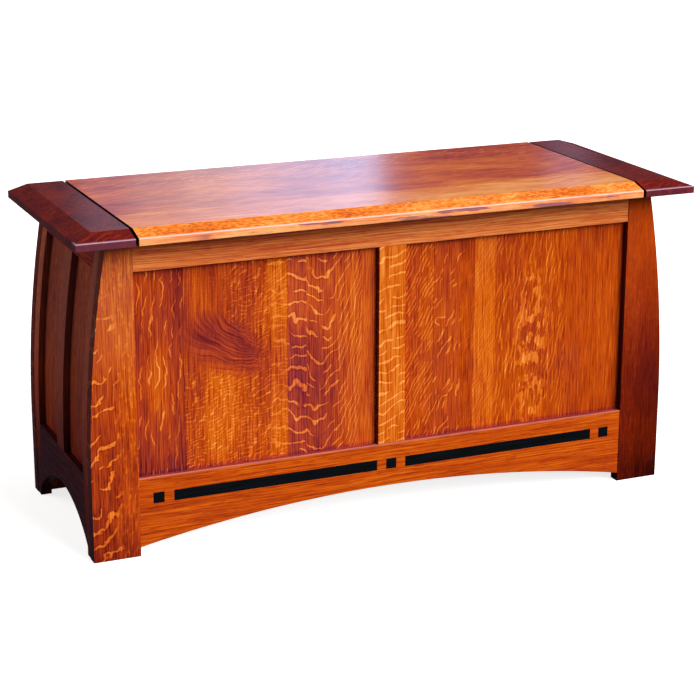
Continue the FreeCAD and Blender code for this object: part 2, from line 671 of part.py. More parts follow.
def ease_top(body):
    """Eases a top board's lower edges and the upright corners of its bevelled edges."""
    level = number("Sizes.edge_height") + CLOSE
    dress(body, "Fillet", "Sizes.edge_round", lambda edge: edge.BoundBox.ZMax < level)


def end_cap(name, hand):
    """A fixed cap: bevelled at its outer end and its front, which meet in a hip."""
    body = placed_body(name, "0", "Worked.front_edge", "Sizes.case_height")
    across = mirrored(("Worked.cap_inner", "Worked.half_length"), hand)
    block(body, "Additive", across, ("0", "Sizes.overall_depth"), ("0", "Sizes.top_thickness"))
    bevel_front(body, across)
    points = [
        ("Worked.half_length", "Sizes.edge_height"),
        ("Worked.half_length - Sizes.end_bevel", "Sizes.top_thickness"),
        ("Worked.half_length + Sizes.cut_past", "Sizes.top_thickness + Sizes.cut_past"),
    ]
    if hand < 0:
        points = [(minus(x), z) for x, z in points]
    sketch = outline(body, "XZ_Plane", points, level="Sizes.cut_past")
    extrude(body, "Pocket", sketch, "Sizes.overall_depth + 2 * Sizes.cut_past")
    ease_top(body)
    return body


def lid_board():
    """The lid: one glued-up board, bevelled along its front."""
    body = placed_body("lid", "0", "Worked.front_edge", "Worked.lid_level")
    across = (minus("Worked.lid_half"), "Worked.lid_half")
    block(body, "Additive", across, ("0", "Sizes.overall_depth"), ("0", "Sizes.top_thickness"))
    bevel_front(body, across)
    ease_top(body)
    return body


def lid_batten(name, hand):
    """A batten under the lid, chamfered at its lower ends."""
    body = placed_body(name, "0", "Worked.front_edge", "Worked.lid_level")
    near_edge = "Worked.batten_place - Sizes.batten_width / 2"
    far_edge = "Worked.batten_place + Sizes.batten_width / 2"
    along = ("Sizes.batten_front", "Sizes.overall_depth - Sizes.batten_back")
    block(body, "Additive", mirrored((near_edge, far_edge), hand), along, ("-Sizes.batten_thickness", "0"))
    low = -number("Sizes.batten_thickness")
    ends = [number(place) for place in along]

    def wanted(edge):
        return lies_at(edge, "Z", low) and any(lies_at(edge, "Y", end) for end in ends)

    dress(body, "Chamfer", "Sizes.batten_chamfer", wanted)
    return body


# ---------------------------------------------------------------- hinges

HINGES = {"left_hinge": "-Worked.hinge_place", "centre_hinge": "0", "right_hinge": "Worked.hinge_place"}
LEAF_NEAR = "Sizes.lid_seat_gap / 2"
LEAF_FAR = "Sizes.lid_seat_gap / 2 + Sizes.leaf_thickness"


def hinge_leaf(name, x, side):
    """A leaf, drawn about the pin's axis: side +1 is the lid's, with the middle knuckle."""
    body = placed_body(name, x, "Worked.axis_y", "Worked.axis_z")
    along = ("-Worked.half_hinge", "Worked.half_hinge")
    plate_y = ("-Sizes.leaf_width", "-Sizes.barrel_radius + Sizes.leaf_lap")
    plate_z = mirrored((LEAF_NEAR, LEAF_FAR), side)
    block(body, "Additive", along, plate_y, plate_z)
    middle_end = "Worked.half_knuckle - Sizes.knuckle_gap / 2"
    outer_start = "Worked.half_knuckle + Sizes.knuckle_gap / 2"
    notch_y = ("-Worked.clear_radius", "0")
    if side > 0:
        knuckles = [(minus(middle_end), middle_end)]
        outer_notch = (middle_end, "Worked.half_hinge + Sizes.cut_past")
        notches = [mirrored(outer_notch, -1), outer_notch]
    else:
        outer_knuckle = (outer_start, "Worked.half_hinge")
        knuckles = [mirrored(outer_knuckle, -1), outer_knuckle]
        notches = [(minus(outer_start), outer_start)]
    for notch in notches:
        block(body, "Subtractive", notch, notch_y, plate_z)
    for knuckle in knuckles:
        rod(body, "Additive", "Sizes.barrel_radius", knuckle, "0", "0")
    rod(body, "Subtractive", "Worked.hole_radius", along, "0", "0")
    return body


def hinge_pin(name, x):
    """A hinge pin with a button on each end."""
    body = placed_body(name, x, "Worked.axis_y", "Worked.axis_z")
    rod(body, "Additive", "Sizes.pin_radius", ("-Worked.half_hinge", "Worked.half_hinge"), "0", "0")
    button = ("Worked.half_hinge", "Worked.half_hinge + Sizes.pin_button")
    for side in (-1, 1):
        rod(body, "Additive", "Sizes.pin_radius + Sizes.pin_lip", mirrored(button, side), "0", "0")
    return keep(body)


# ---------------------------------------------------------------- screws and drilled pieces

def screw_shape(name, radius, head, length, play="0"):
    """A countersunk screw, or with play its hole: head's face at the origin, point downwards."""
    sink = f"({head}) - ({radius})"
    parts = []
    cone = doc.addObject("Part::Cone", f"{name}_head")
    cone.setExpression("Radius1", f"{radius} + {play}")
    cone.setExpression("Radius2", f"{head} + {play}")
    cone.setExpression("Height", sink)
    cone.setExpression("Placement.Base.z", minus(sink))
    parts.append(cone)
    shank = doc.addObject("Part::Cylinder", f"{name}_shank")
    shank.setExpression("Radius", f"{radius} + {play}")
    shank.setExpression("Height", f"{length} - ({sink}) - Sizes.screw_tip")
    shank.setExpression("Placement.Base.z", f"Sizes.screw_tip - ({length})")
    parts.append(shank)
    point = doc.addObject("Part::Cone", f"{name}_point")
    point.setExpression("Radius1", f"{SCREW_BLUNT} * ({radius}) + {play}")
    point.setExpression("Radius2", f"{radius} + {play}")
    point.setExpression("Height", f"Sizes.screw_tip + {play}")
    point.setExpression("Placement.Base.z", f"-1 * ({length}) - {play}")
    parts.append(point)
    fused = doc.addObject("Part::MultiFuse", name)
    fused.Shapes = parts
    return fused


def copies(name, master, spots):
    """A group of linked copies of a shape, one at each spot: (x, y, z, the way it points)."""
    links = []
    for index, (x, y, z, way) in enumerate(spots, start=1):
        link = doc.addObject("App::Link", f"{name}_{index}")
        link.LinkedObject = master
        link.Placement = FreeCAD.Placement(Vector(), FreeCAD.Rotation(DOWN, way))
        for axis, formula in zip("xyz", (x, y, z)):
            link.setExpression(f"Placement.Base.{axis}", formula)
        links.append(link)
    group = doc.addObject("Part::Compound", name)
    group.Links = links
    return group


def cut_away(blank, tools):
    """A piece: a blank with the holes and recesses of its tools cut out, under the blank's name."""
    name = blank.Label
    blank.Label = f"{name} blank"
    previous = blank
    for tool in tools:
        cut = doc.addObject("Part::Cut", f"{blank.Name}_cut")
        cut.Base = previous
        cut.Tool = tool
        previous = cut
    return keep(previous, name)


def leaf_recess(side):
    """The recesses for the hinge leaves: side +1 in the lid, -1 in the back top rail."""
    boxes = []
    for name, x in HINGES.items():
        box = doc.addObject("Part::Box", f"{name}_recess")
        box.setExpression("Length", "Sizes.hinge_length + 2 * Sizes.leaf_play")
        box.setExpression("Width", "Sizes.leaf_width + Sizes.leaf_play")
        box.setExpression("Height", LEAF_FAR)
        box.setExpression("Placement.Base.x", f"{x} - Worked.half_hinge - Sizes.leaf_play")
        box.setExpression("Placement.Base.y", "Worked.axis_y - Sizes.leaf_width - Sizes.leaf_play")
        low = "Worked.axis_z" if side > 0 else f"Worked.axis_z - ({LEAF_FAR})"
        box.setExpression("Placement.Base.z", low)
        boxes.append(box)
    group = doc.addObject("Part::Compound", "leaf_recesses")
    group.Links = boxes
    return group


def spread(low, high, count):
    """Formulas for count places, evenly spaced from low to high."""
    return [f"{low} + ({span(low, high)}) * {index} / {count - 1}" for index in range(count)]


def hinge_spots(way):
    """Three screws to each leaf, whose heads lie flush in the leaves' meeting faces."""
    level = f"Worked.axis_z + {LEAF_NEAR}" if way == UP else f"Worked.axis_z - {LEAF_NEAR}"
    spots = []
    for x in HINGES.values():
        for shift in ("-Sizes.hinge_screw_spread", "0", "Sizes.hinge_screw_spread"):
            spots.append((f"{x} + {shift}", "Worked.axis_y - Sizes.hinge_screw_line", level, way))
    return spots


def cap_spots(hand):
    """Up through a ledger into its cap, between the cap's inner edge and the end frame."""
    x = "(Worked.cap_inner + Worked.end_inside_top) / 2"
    x = x if hand > 0 else minus(x)
    level = "Sizes.case_height - Sizes.ledger_thickness"
    reach = "(Worked.inside_half - Sizes.screw_margin)"
    places = spread(f"Worked.case_middle - {reach}", f"Worked.case_middle + {reach}", BOARD_SCREWS)
    return [(x, y, level, UP) for y in places]


def batten_spots(hand):
    """Up through a batten's middle line into the lid."""
    x = "Worked.batten_place" if hand > 0 else "-Worked.batten_place"
    level = "Worked.lid_level - Sizes.batten_thickness"
    first = "Worked.front_edge + Sizes.batten_front + Sizes.screw_margin"
    last = "Worked.back_edge - Sizes.batten_back - Sizes.screw_margin"
    return [(x, y, level, UP) for y in spread(first, last, BOARD_SCREWS)]


def long_cleat_spots(side):
    """Through the front (side -1) or back cleat into its bottom rail."""
    inner = "(Worked.half_case - Worked.frame_back - Sizes.cleat_size)"
    y = f"Worked.case_middle + {inner}" if side > 0 else f"Worked.case_middle - {inner}"
    reach = "(Worked.leg_inner - Sizes.floor_play - Sizes.screw_margin)"
    places = spread(minus(reach), reach, LONG_CLEAT_SCREWS)
    return [(x, y, "Worked.cleat_line", Vector(0, side, 0)) for x in places]


def end_cleat_spots(hand):
    """Through the left (hand -1) or right cleat into its end bottom rail."""
    inner = "Worked.end_inside - Sizes.cleat_size"
    x = inner if hand > 0 else minus(inner)
    reach = "(Worked.inside_half - Sizes.floor_play - Sizes.screw_margin)"
    places = spread(f"Worked.case_middle - {reach}", f"Worked.case_middle + {reach}", END_CLEAT_SCREWS)
    return [(x, y, "Worked.cleat_line", Vector(hand, 0, 0)) for y in places]


# ---------------------------------------------------------------- the whole chest

def build_case_frames():
    """Legs, front and back frames, inlay and end frames. Returns the boards that are drilled later."""
    blanks = {}
    leg("front_left_leg", -1, FRONT)
    leg("front_right_leg", 1, FRONT)
    leg("rear_left_leg", 1, BACK)
    leg("rear_right_leg", -1, BACK)
    for side, turn in (("front", FRONT), ("back", BACK)):
        blanks[f"{side}_top_rail"] = top_rail(f"{side}_top_rail", turn)
        blanks[f"{side}_bottom_rail"] = bottom_rail(f"{side}_bottom_rail", turn, inlaid=turn == FRONT)
        centre_stile(f"{side}_centre_stile", turn)
        right = 1 if turn == FRONT else -1
        flat_panel(f"{side}_left_panel", -right, turn)
        flat_panel(f"{side}_right_panel", right, turn)
    for name, across in INLAYS.items():
        inlay(name, across)
    for side, turn, front in (("left", BACK, 1), ("right", FRONT, -1)):
        end_stile(f"{side}_front_stile", front, turn)
        end_stile(f"{side}_rear_stile", -front, turn)
        end_centre_stile(f"{side}_centre_stile", turn)
        end_top_rail(f"{side}_top_rail", turn)
        blanks[f"{side}_bottom_rail"] = end_bottom_rail(f"{side}_bottom_rail", turn)
        end_panel(f"{side}_front_panel", front, turn)
        end_panel(f"{side}_rear_panel", -front, turn)
    keep(blanks.pop("front_top_rail"))
    return blanks


def build_floor(blanks, wood_screw, wood_hole):
    """The floor board on its cleats, the cleats' screws, and the bottom rails drilled for them."""
    floor_board()
    spots = {
        "front": long_cleat_spots(-1),
        "back": long_cleat_spots(1),
        "left": end_cleat_spots(-1),
        "right": end_cleat_spots(1),
    }
    cleats = {
        "front": long_cleat("front_bottom_cleat", FRONT),
        "back": long_cleat("back_bottom_cleat", BACK),
        "left": end_cleat("left_bottom_cleat", BACK),
        "right": end_cleat("right_bottom_cleat", FRONT),
    }
    for side, cleat in cleats.items():
        holes = copies(f"{side}_cleat_holes", wood_hole, spots[side])
        cut_away(cleat, [holes])
        cut_away(blanks[f"{side}_bottom_rail"], [holes])
    keep(copies("cleat_screws", wood_screw, sum(spots.values(), [])))


def build_top(blanks, wood_screw, wood_hole, hinge_screw, hinge_hole):
    """The caps on their ledgers, the lid with its battens, the hinges and all their screws."""
    for side, hand, turn in (("left", -1, BACK), ("right", 1, FRONT)):
        holes = copies(f"{side}_cap_holes", wood_hole, cap_spots(hand))
        cut_away(end_cap(f"{side}_end_cap", hand), [holes])
        cut_away(ledger(f"{side}_cap_ledger", turn), [holes])
    keep(copies("cap_screws", wood_screw, cap_spots(-1) + cap_spots(1)))
    batten_screws = batten_spots(-1) + batten_spots(1)
    batten_holes = copies("batten_holes", wood_hole, batten_screws)
    keep(copies("batten_screws", wood_screw, batten_screws))
    for side, hand in (("left", -1), ("right", 1)):
        cut_away(lid_batten(f"{side}_lid_batten", hand), [batten_holes])
    lid_holes = copies("lid_hinge_holes", hinge_hole, hinge_spots(UP))
    case_holes = copies("case_hinge_holes", hinge_hole, hinge_spots(DOWN))
    cut_away(lid_board(), [leaf_recess(1), batten_holes, lid_holes])
    cut_away(blanks["back_top_rail"], [leaf_recess(-1), case_holes])
    for name, x in HINGES.items():
        cut_away(hinge_leaf(f"{name}_case_leaf", x, -1), [case_holes])
        cut_away(hinge_leaf(f"{name}_lid_leaf", x, 1), [lid_holes])
        hinge_pin(f"{name}_pin", x)
    keep(copies("case_hinge_screws", hinge_screw, hinge_spots(DOWN)))
    keep(copies("lid_hinge_screws", hinge_screw, hinge_spots(UP)))


def check_document():
    """Stops unless every object is sound and every piece holds valid solids."""
    for item in doc.Objects:
        if {"Invalid", "Error"} & set(item.State):
            raise SystemExit(f"{item.Name} is {item.State}")
    for piece in pieces:
        shape = piece.Shape
        if shape.isNull() or not shape.isValid() or not shape.Solids:
            raise SystemExit(f"{piece.Label} has no valid solid")
        if min(solid.Volume for solid in shape.Solids) <= 0:
            raise SystemExit(f"{piece.Label} has an empty solid")


def write_pieces():
    os.makedirs("parts", exist_ok=True)
    for piece in pieces:
        piece.Shape.exportStep(f"parts/{piece.Label}.step")
        box = piece.Shape.BoundBox
        sizes = ", ".join(f"{length:.1f}" for length in (box.XLength, box.YLength, box.ZLength))
        print(f"{piece.Label}: {len(piece.Shape.Solids)} solid(s), {sizes} mm")


def main():
    fill_sheet()
    wood = ("Sizes.screw_radius", "Sizes.screw_head", "Sizes.screw_length")
    hinge = ("Sizes.hinge_screw_radius", "Sizes.hinge_screw_head", "Sizes.hinge_screw_length")
    wood_screw = screw_shape("wood_screw", *wood)
    wood_hole = screw_shape("wood_hole", *wood, play="Sizes.screw_play")
    hinge_screw = screw_shape("hinge_screw", *hinge)
    hinge_hole = screw_shape("hinge_hole", *hinge, play="Sizes.screw_play")
    blanks = build_case_frames()
    build_floor(blanks, wood_screw, wood_hole)
    build_top(blanks, wood_screw, wood_hole, hinge_screw, hinge_hole)
    doc.recompute()
    check_document()
    write_pieces()


main()
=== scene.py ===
"""Finishes, lights and camera for an oak blanket chest with a hinged lid."""

import math
from types import SimpleNamespace

import bpy
from mathutils import Euler, Matrix, Vector


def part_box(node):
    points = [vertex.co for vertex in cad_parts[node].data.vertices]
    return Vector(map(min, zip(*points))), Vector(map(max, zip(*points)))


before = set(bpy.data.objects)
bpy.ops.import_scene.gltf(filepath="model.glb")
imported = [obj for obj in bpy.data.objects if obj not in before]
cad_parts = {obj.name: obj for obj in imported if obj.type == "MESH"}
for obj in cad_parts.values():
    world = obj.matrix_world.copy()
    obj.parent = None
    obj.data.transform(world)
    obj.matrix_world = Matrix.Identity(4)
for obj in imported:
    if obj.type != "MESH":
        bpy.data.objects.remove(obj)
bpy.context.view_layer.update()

bl_info = {
    "name": "Oak Blanket Chest Finishes",
    "version": (1, 0, 0),
    "blender": (4, 5, 0),
    "location": "3D View > Sidebar > Chest",
    "description": "Stained oak, inlay, hinge and screw finishes for a blanket chest, with its stage",
    "category": "Object",
}

MILLIMETRE = 0.001

# The axes that run across, through and along a board's grain.
GRAIN_UP = ("X", "Y", "Z")
GRAIN_UP_ON_END = ("Y", "X", "Z")
GRAIN_SIDEWAYS = ("Z", "Y", "X")
GRAIN_DEEP = ("Z", "X", "Y")
TOP_GRAIN_SIDEWAYS = ("Y", "Z", "X")
TOP_GRAIN_DEEP = ("X", "Z", "Y")


# ------------ settings


def colour_setting(name, description, default):
    """A colour that a user may change."""
    return bpy.props.FloatVectorProperty(
        name=name, description=description, default=default,
        subtype="COLOR", size=3, min=0.0, max=1.0,
    )


def share_setting(name, description, default):
    """A share between nothing and all that a user may change."""
    return bpy.props.FloatProperty(
        name=name, description=description, default=default,
        subtype="FACTOR", min=0.0, max=1.0,
    )


def angle_setting(name, description, degrees):
    """An angle that a user may change."""
    return bpy.props.FloatProperty(
        name=name, description=description, default=math.radians(degrees),
        subtype="ANGLE", unit="ROTATION",
    )


def power_setting(name, description, watts):
    """A lamp's power that a user may change."""
    return bpy.props.FloatProperty(
        name=name, description=description, default=watts, min=0.0, unit="POWER",
    )


class ChestFinishSettings(bpy.types.PropertyGroup):
    """Colours and gloss of the chest's woods and metals."""

    shadow: colour_setting("Shadow", "Oak stain where it lies darkest", (0.030, 0.002, 0.001))
    mahogany: colour_setting("Mahogany", "Oak stain in the pores and dark boards", (0.150, 0.010, 0.001))
    russet: colour_setting("Russet", "Oak stain in the red boards", (0.310, 0.031, 0.003))
    amber: colour_setting("Amber", "Oak stain's middle tone", (0.490, 0.066, 0.003))
    orange: colour_setting("Orange", "Oak stain in the bright boards", (0.660, 0.145, 0.007))
    gold: colour_setting("Gold", "Ray flecks and golden boards", (0.800, 0.245, 0.040))
    straw: colour_setting("Straw", "The palest ray flecks", (0.900, 0.400, 0.100))
    plum: colour_setting("Plum", "What purple boards have over the rest", (0.000, 0.004, 0.026))
    # Painted highlight: the pale colour laid along lit edges of the stained oak.
    arris_highlight: colour_setting("Arris", "Stained oak where its edges are worn pale", (0.900, 0.520, 0.470))
    # Painted sheen: a grey veil laid over the ends' and legs' upper parts.
    sheen: colour_setting("Sheen", "Grey bloom on the ends and the legs' tops", (0.320, 0.180, 0.145))
    # Painted shade on the faces of the legs that look left.
    leg_side_shade: colour_setting("Leg Side", "Blackened left side of a leg", (0.024, 0.009, 0.024))
    cap: colour_setting("Cap", "Dark stain of the end caps", (0.062, 0.002, 0.004))
    cap_fleck: colour_setting("Cap Fleck", "Ray flecks in the end caps", (0.210, 0.014, 0.004))
    # Painted sheen: a purple-grey veil laid on the end caps' edges.
    cap_edge_sheen: colour_setting("Cap Edge", "Grey bloom along the end caps' edges", (0.130, 0.034, 0.060))
    # Painted highlight along the end caps' front edges.
    cap_arris_highlight: colour_setting("Cap Arris", "The end caps where their edges are worn", (0.480, 0.300, 0.380))
    blot: colour_setting("Blot", "Purple marks on the lid's front edge", (0.160, 0.066, 0.120))
    ebony: colour_setting("Ebony", "The inlay", (0.0025, 0.0035, 0.0045))
    cedar: colour_setting("Cedar", "The floor board", (0.700, 0.340, 0.180))
    raw_oak: colour_setting("Raw Oak", "Cleats, ledgers and battens", (0.520, 0.330, 0.165))
    brass: colour_setting("Brass", "Hinge leaves and pins", (0.480, 0.330, 0.150))
    steel: colour_setting("Steel", "Wood screws", (0.560, 0.560, 0.550))
    lacquer: share_setting("Lacquer", "How much lacquer lies on the stained oak", 0.18)
    lid_lacquer: share_setting("Lid Lacquer", "How much lacquer lies on the lid", 0.9)
    cap_lacquer: share_setting("Cap Lacquer", "How much lacquer lies on the end caps", 0.55)
    lacquer_roughness: share_setting("Lacquer Roughness", "How dull the lacquer is", 0.2)


class ChestStageSettings(bpy.types.PropertyGroup):
    """Camera, floor and lights."""

    camera_place: bpy.props.FloatVectorProperty(
        name="Camera Place", description="Where the camera stands",
        default=(-1.4626, -3.3883, 1.3991), size=3, subtype="TRANSLATION", unit="LENGTH",
    )
    camera_turn: angle_setting("Camera Turn", "Angle of the view to the right of straight ahead", 23.283)
    camera_drop: angle_setting("Camera Drop", "Angle of the view below level", 16.879)
    camera_roll: angle_setting("Camera Roll", "Tilt of the camera about its own line of sight", 0.118)
    lens: bpy.props.FloatProperty(
        name="Lens", description="Focal length in millimetres on a 36 mm sensor",
        default=101.77, min=10.0, subtype="DISTANCE_CAMERA",
    )
    floor_size: bpy.props.FloatProperty(
        name="Floor Size", description="Width and depth of the floor",
        default=60.0, min=4.0, subtype="DISTANCE", unit="LENGTH",
    )
    floor_colour: colour_setting("Floor Colour", "The plain pale floor", (0.86, 0.86, 0.86))
    key_strength: bpy.props.FloatProperty(
        name="Key Strength", description="Strength of the soft front light",
        default=4.85, min=0.0,
    )
    key_rise: angle_setting("Key Rise", "Angle of the front light above level", 31.0)
    key_side: angle_setting("Key Side", "Angle of the front light to the right of straight on", 34.0)
    overhead: power_setting("Overhead", "Power of the light above the lid", 30.0)
    left_fill: power_setting("Left Fill", "Power of the light on the left end", 40.0)
    room: share_setting("Room Light", "Strength of the even light all round", 0.07)


# ------------ shader maths


# The colour sockets of the Mix node.
MIX_FACTOR, MIX_FIRST, MIX_SECOND, MIX_RESULT = 0, 6, 7, 2

# How far the noise moves from one board to the next, and from one layer of a board to the next.
BOARD_STEP = (7.31, 1.73, 0.0)
LAYER_STEP = (3.17, 0.0, 5.39)

# A face looks along an axis when its normal has more than this of that axis.
FACING = 0.7

# How often to the metre the grain drifts, across and along a board, and how far in metres.
DRIFTS = (3.0, 2.0)
DRIFT, LID_DRIFT, SHORT_DRIFT = 0.02, 0.03, 0.015


class Socket:
    """A node's output. Sums and products of number sockets add Math nodes."""

    def __init__(self, finish, output):
        self.finish = finish
        self.output = output

    def maths(self, operation, *values, clamp=False):
        """A Math node on these values."""
        settings = {"operation": operation, "use_clamp": clamp}
        return self.finish.node("ShaderNodeMath", settings, dict(enumerate(values)))

    def __add__(self, other):
        return self.maths("ADD", self, other)

    __radd__ = __add__

    def __sub__(self, other):
        return self.maths("SUBTRACT", self, other)

    def __rsub__(self, other):
        return self.maths("SUBTRACT", other, self)

    def __mul__(self, other):
        return self.maths("MULTIPLY", self, other)

    __rmul__ = __mul__

    def __truediv__(self, other):
        return self.maths("DIVIDE", self, other)

    def __gt__(self, other):
        return self.maths("GREATER_THAN", self, other)

    def __lt__(self, other):
        return self.maths("LESS_THAN", self, other)

    def __abs__(self):
        return self.maths("ABSOLUTE", self)

    def clamped(self):
        """The value held between 0 and 1."""
        return self.maths("ADD", self, 0.0, clamp=True)

    def zigzag(self):
        """Distance to the nearest whole number, from 0 to a half."""
        return self.maths("PINGPONG", self, 0.5)


class Finish:
    """A material while it is built, with places across, through and along its grain in metres."""

    def __init__(self, name, axes, shift):
        self.material = bpy.data.materials.new(name)
        self.material.use_nodes = True
        self.tree = self.material.node_tree
        self.tree.nodes.clear()
        self.look = bpy.context.scene.chest_finish
        self.shift = shift
        self.layers = 0
        self.across, self.through, self.along = self.coordinates("Object", axes)
        self.pack_board()

    def node(self, kind, settings=None, sockets=None, output=0):
        """Adds a node, makes its settings first, then fills or links its sockets."""
        made = self.tree.nodes.new(kind)
        for name, value in (settings or {}).items():
            setattr(made, name, value)
        for name, value in (sockets or {}).items():
            if isinstance(value, Socket):
                self.tree.links.new(value.output, made.inputs[name])
            else:
                made.inputs[name].default_value = value
        return Socket(self, made.outputs[output]) if made.outputs else None

    def parts(self, kind, source, names):
        """The named outputs of a node that takes a vector or a colour apart."""
        outputs = self.node(kind, sockets={0: source}).output.node.outputs
        return [Socket(self, outputs[name]) for name in names]

    def coordinates(self, kind, axes):
        """One kind of texture coordinates, split into the named axes."""
        place = self.node("ShaderNodeTexCoord", output=kind)
        return self.parts("ShaderNodeSeparateXYZ", place, axes)

    def facing(self, axis, way):
        """1 on the faces that look along an axis, the way given by 1 or -1."""
        (normal,) = self.coordinates("Normal", (axis,))
        return normal * way > FACING

    def join(self, across, through, along):
        """Three numbers as one vector."""
        return self.node("ShaderNodeCombineXYZ", sockets={"X": across, "Y": through, "Z": along})

    def pack_board(self):
        """Joins across, through and along into the board's own place."""
        self.board = self.join(self.across, self.through, self.along)

    def next_shift(self):
        """A new place in the noise for each layer of each board."""
        self.layers += 1
        return [self.shift * board + self.layers * layer for board, layer in zip(BOARD_STEP, LAYER_STEP)]

    def noise(self, across, along, through=None, detail=2.0, roughness=0.5):
        """Clouds with about this many spots to the metre across, along and through the board."""
        scale = (across, across if through is None else through, along)
        place = self.node(
            "ShaderNodeVectorMath", {"operation": "MULTIPLY_ADD"},
            {0: self.board, 1: scale, 2: self.next_shift()},
        )
        return self.clouds(place, detail, roughness)

    def clouds(self, place, detail=2.0, roughness=0.5):
        """Noise at a place that is already scaled."""
        sockets = {"Vector": place, "Scale": 1.0, "Detail": detail, "Roughness": roughness}
        return self.node("ShaderNodeTexNoise", sockets=sockets)

    def wander(self, reach):
        """Lets the grain drift sideways by up to about reach."""
        self.across = self.across + (self.noise(*DRIFTS) - 0.5) * reach
        self.pack_board()

    def rise(self, value, start, end):
        """0 at start and before it, 1 at end and past it, smooth between; either may be the higher."""
        sockets = {"Value": value, "From Min": start, "From Max": end}
        return self.node("ShaderNodeMapRange", {"interpolation_type": "SMOOTHSTEP"}, sockets)

    def ramp(self, factor, stops, interpolation="LINEAR"):
        """Colours along a factor, from (place, colour) stops."""
        made = self.node("ShaderNodeValToRGB", sockets={"Fac": factor})
        ramp = made.output.node.color_ramp
        ramp.interpolation = interpolation
        while len(ramp.elements) < len(stops):
            ramp.elements.new(1.0)
        for element, (place, colour) in zip(ramp.elements, stops):
            element.position = place
            element.color = (*colour, 1.0)
        return made

    def mix(self, factor, first, second, blend="MIX"):
        """One colour over another."""
        under, over = (end if isinstance(end, Socket) else (*end, 1.0) for end in (first, second))
        sockets = {MIX_FACTOR: factor, MIX_FIRST: under, MIX_SECOND: over}
        return self.node("ShaderNodeMix", {"data_type": "RGBA", "blend_type": blend}, sockets, MIX_RESULT)

    def bump(self, height, distance, strength):
        """A normal that follows a height between 0 and 1."""
        sockets = {"Height": height, "Distance": distance, "Strength": strength}
        return self.node("ShaderNodeBump", sockets=sockets)

    def surface(self, sockets):
        """Sets the shader's sockets and joins it to the material's output."""
        shader = self.node("ShaderNodeBsdfPrincipled", sockets=sockets)
        self.node("ShaderNodeOutputMaterial", sockets={"Surface": shader})
        return self.material


def scaled(colour, share):
    """A colour with each channel times a share."""
    return tuple(share * channel for channel in colour)


# ------------ figure of the wood


# Kinds of ray fleck: lean, spacing, length, width, wobble, wave, cover and bow; ray_flecks says
# what each of them means.
FLECKS = {
    "rising": (26, 0.015, 0.030, 0.20, 2.4, (0.05, 0.06), 0.55),
    "stile": (16, 0.019, 0.035, 0.17, 2.4, (0.05, 0.06), 0.8),
    "broad": (40, 0.026, 0.030, 0.17, 2.4, (0.030, 0.035), 0.8),
    "strokes": (86, 0.014, 0.050, 0.16, 2.0, (0.040, 0.035), 0.65),
    "combed": (14, 0.0070, 0.014, 0.30, 7.0, (0.07, 0.07), 0.6),
    "curls": (62, 0.012, 0.028, 0.24, 4.0, (0.05, 0.05), 0.45),
    "dashes": (-6, 0.026, 0.035, 0.14, 2.4, (0.04, 0.06), 1.0),
    "cups": (0, 0.023, 0.035, 0.15, 2.8, (0.04, 0.05), 0.8, (-0.138, 22.0)),
    "slants": (60, 0.0065, 0.026, 0.30, 2.6, (0.035, 0.06), 0.75),
    "upright": (78, 0.0075, 0.040, 0.26, 2.6, (0.04, 0.05), 0.6),
    "lid": (65, 0.016, 0.030, 0.24, 2.4, (0.06, 0.10), 0.5),
    "cap": (20, 0.013, 0.030, 0.24, 3.0, (0.04, 0.04), 0.7),
}

# A fleck's strength and that of the dark beside it, how far inside its edge a fleck is full, and
# how far outside it the dark reaches, both as shares of its width.
FLECK_BRIGHT, FLECK_DIM = 1.2, 0.2
FLECK_CORE, FLECK_SHADOW = 0.5, 0.8

# Levels of noise: where a fleck or a spot is half there, what cover takes off that, and how far
# below and above it the change runs; then where pores begin and are full, and how many there are
# to the metre across and along a board.
FLECK_LEVEL, FLECK_COVER, FLECK_BELOW, FLECK_ABOVE = 0.62, 0.24, 0.04, 0.12
SPOT_LEVEL, SPOT_COVER, SPOT_BELOW, SPOT_ABOVE = 0.67, 0.2, 0.03, 0.03
PORE_LEVELS, PORE_COUNTS = (0.53, 0.66), (460.0, 40.0)

# How many broad bands there are to a growth line, across it and along it, and the strength of each.
BANDS_ACROSS, BANDS_ALONG, BAND_STRENGTH, LINE_STRENGTH = 0.30, 0.25, 0.2, 0.8

# A whorl's lines: how they bow, stray and fan out.
WHORL_BOW, WHORL_STRAY, WHORL_FAN = 2.5, 0.05, 7.0

# A whorl's spots to the metre: of what makes its lines stray, along its lines and across them.
WHORL_BENDS, WHORL_RUNS, WHORL_LINES = 12.0, 12.0, 260.0

# An arched figure's spots to the metre: of what bends it, and of its lines along the grain.
ARCH_BENDS, ARCH_RUNS = 4.0, 2.5


def ray_flecks(oak, lean, spacing, length, width, wobble, wave, cover, bow=None):
    """Ray flecks: broken lines, `spacing` apart, that rise by `lean` degrees from straight across.

    `length` and `width` are those of one fleck, the width as a share of the spacing, `wobble` how
    many spacings it strays, `wave` the size of that wobble across and along the grain, `cover` the
    share of each line that shows, and `bow` a (centre, depth) that bends every line into a cup.
    The ground is a little darker beside each line.
    """
    turn = math.radians(lean)
    across, along = oak.across, oak.along
    if bow:
        centre, depth = bow
        off = across - centre
        along = along - off * off * depth
    drift = (oak.noise(1 / wave[0], 1 / wave[1], detail=2.5) - 0.5) * wobble
    step = (along * math.cos(turn) - across * math.sin(turn)) / spacing + drift
    run = (along * math.sin(turn) + across * math.cos(turn)) / length
    shift = oak.next_shift()
    level = FLECK_LEVEL - FLECK_COVER * cover
    field = oak.clouds(oak.join(run + shift[0], step, shift[1]), detail=1.5)
    presence = oak.rise(field, level - FLECK_BELOW, level + FLECK_ABOVE)
    line = presence * width - step.zigzag()
    bright = oak.rise(line, 0.0, FLECK_CORE * width) * FLECK_BRIGHT
    return bright - oak.rise(line, -FLECK_SHADOW * width, 0.0) * presence * FLECK_DIM


def spots(oak, across, along, cover):
    """Irregular blots of ray, about this many to the metre."""
    level = SPOT_LEVEL - SPOT_COVER * cover
    return oak.rise(oak.noise(across, along), level - SPOT_BELOW, level + SPOT_ABOVE)


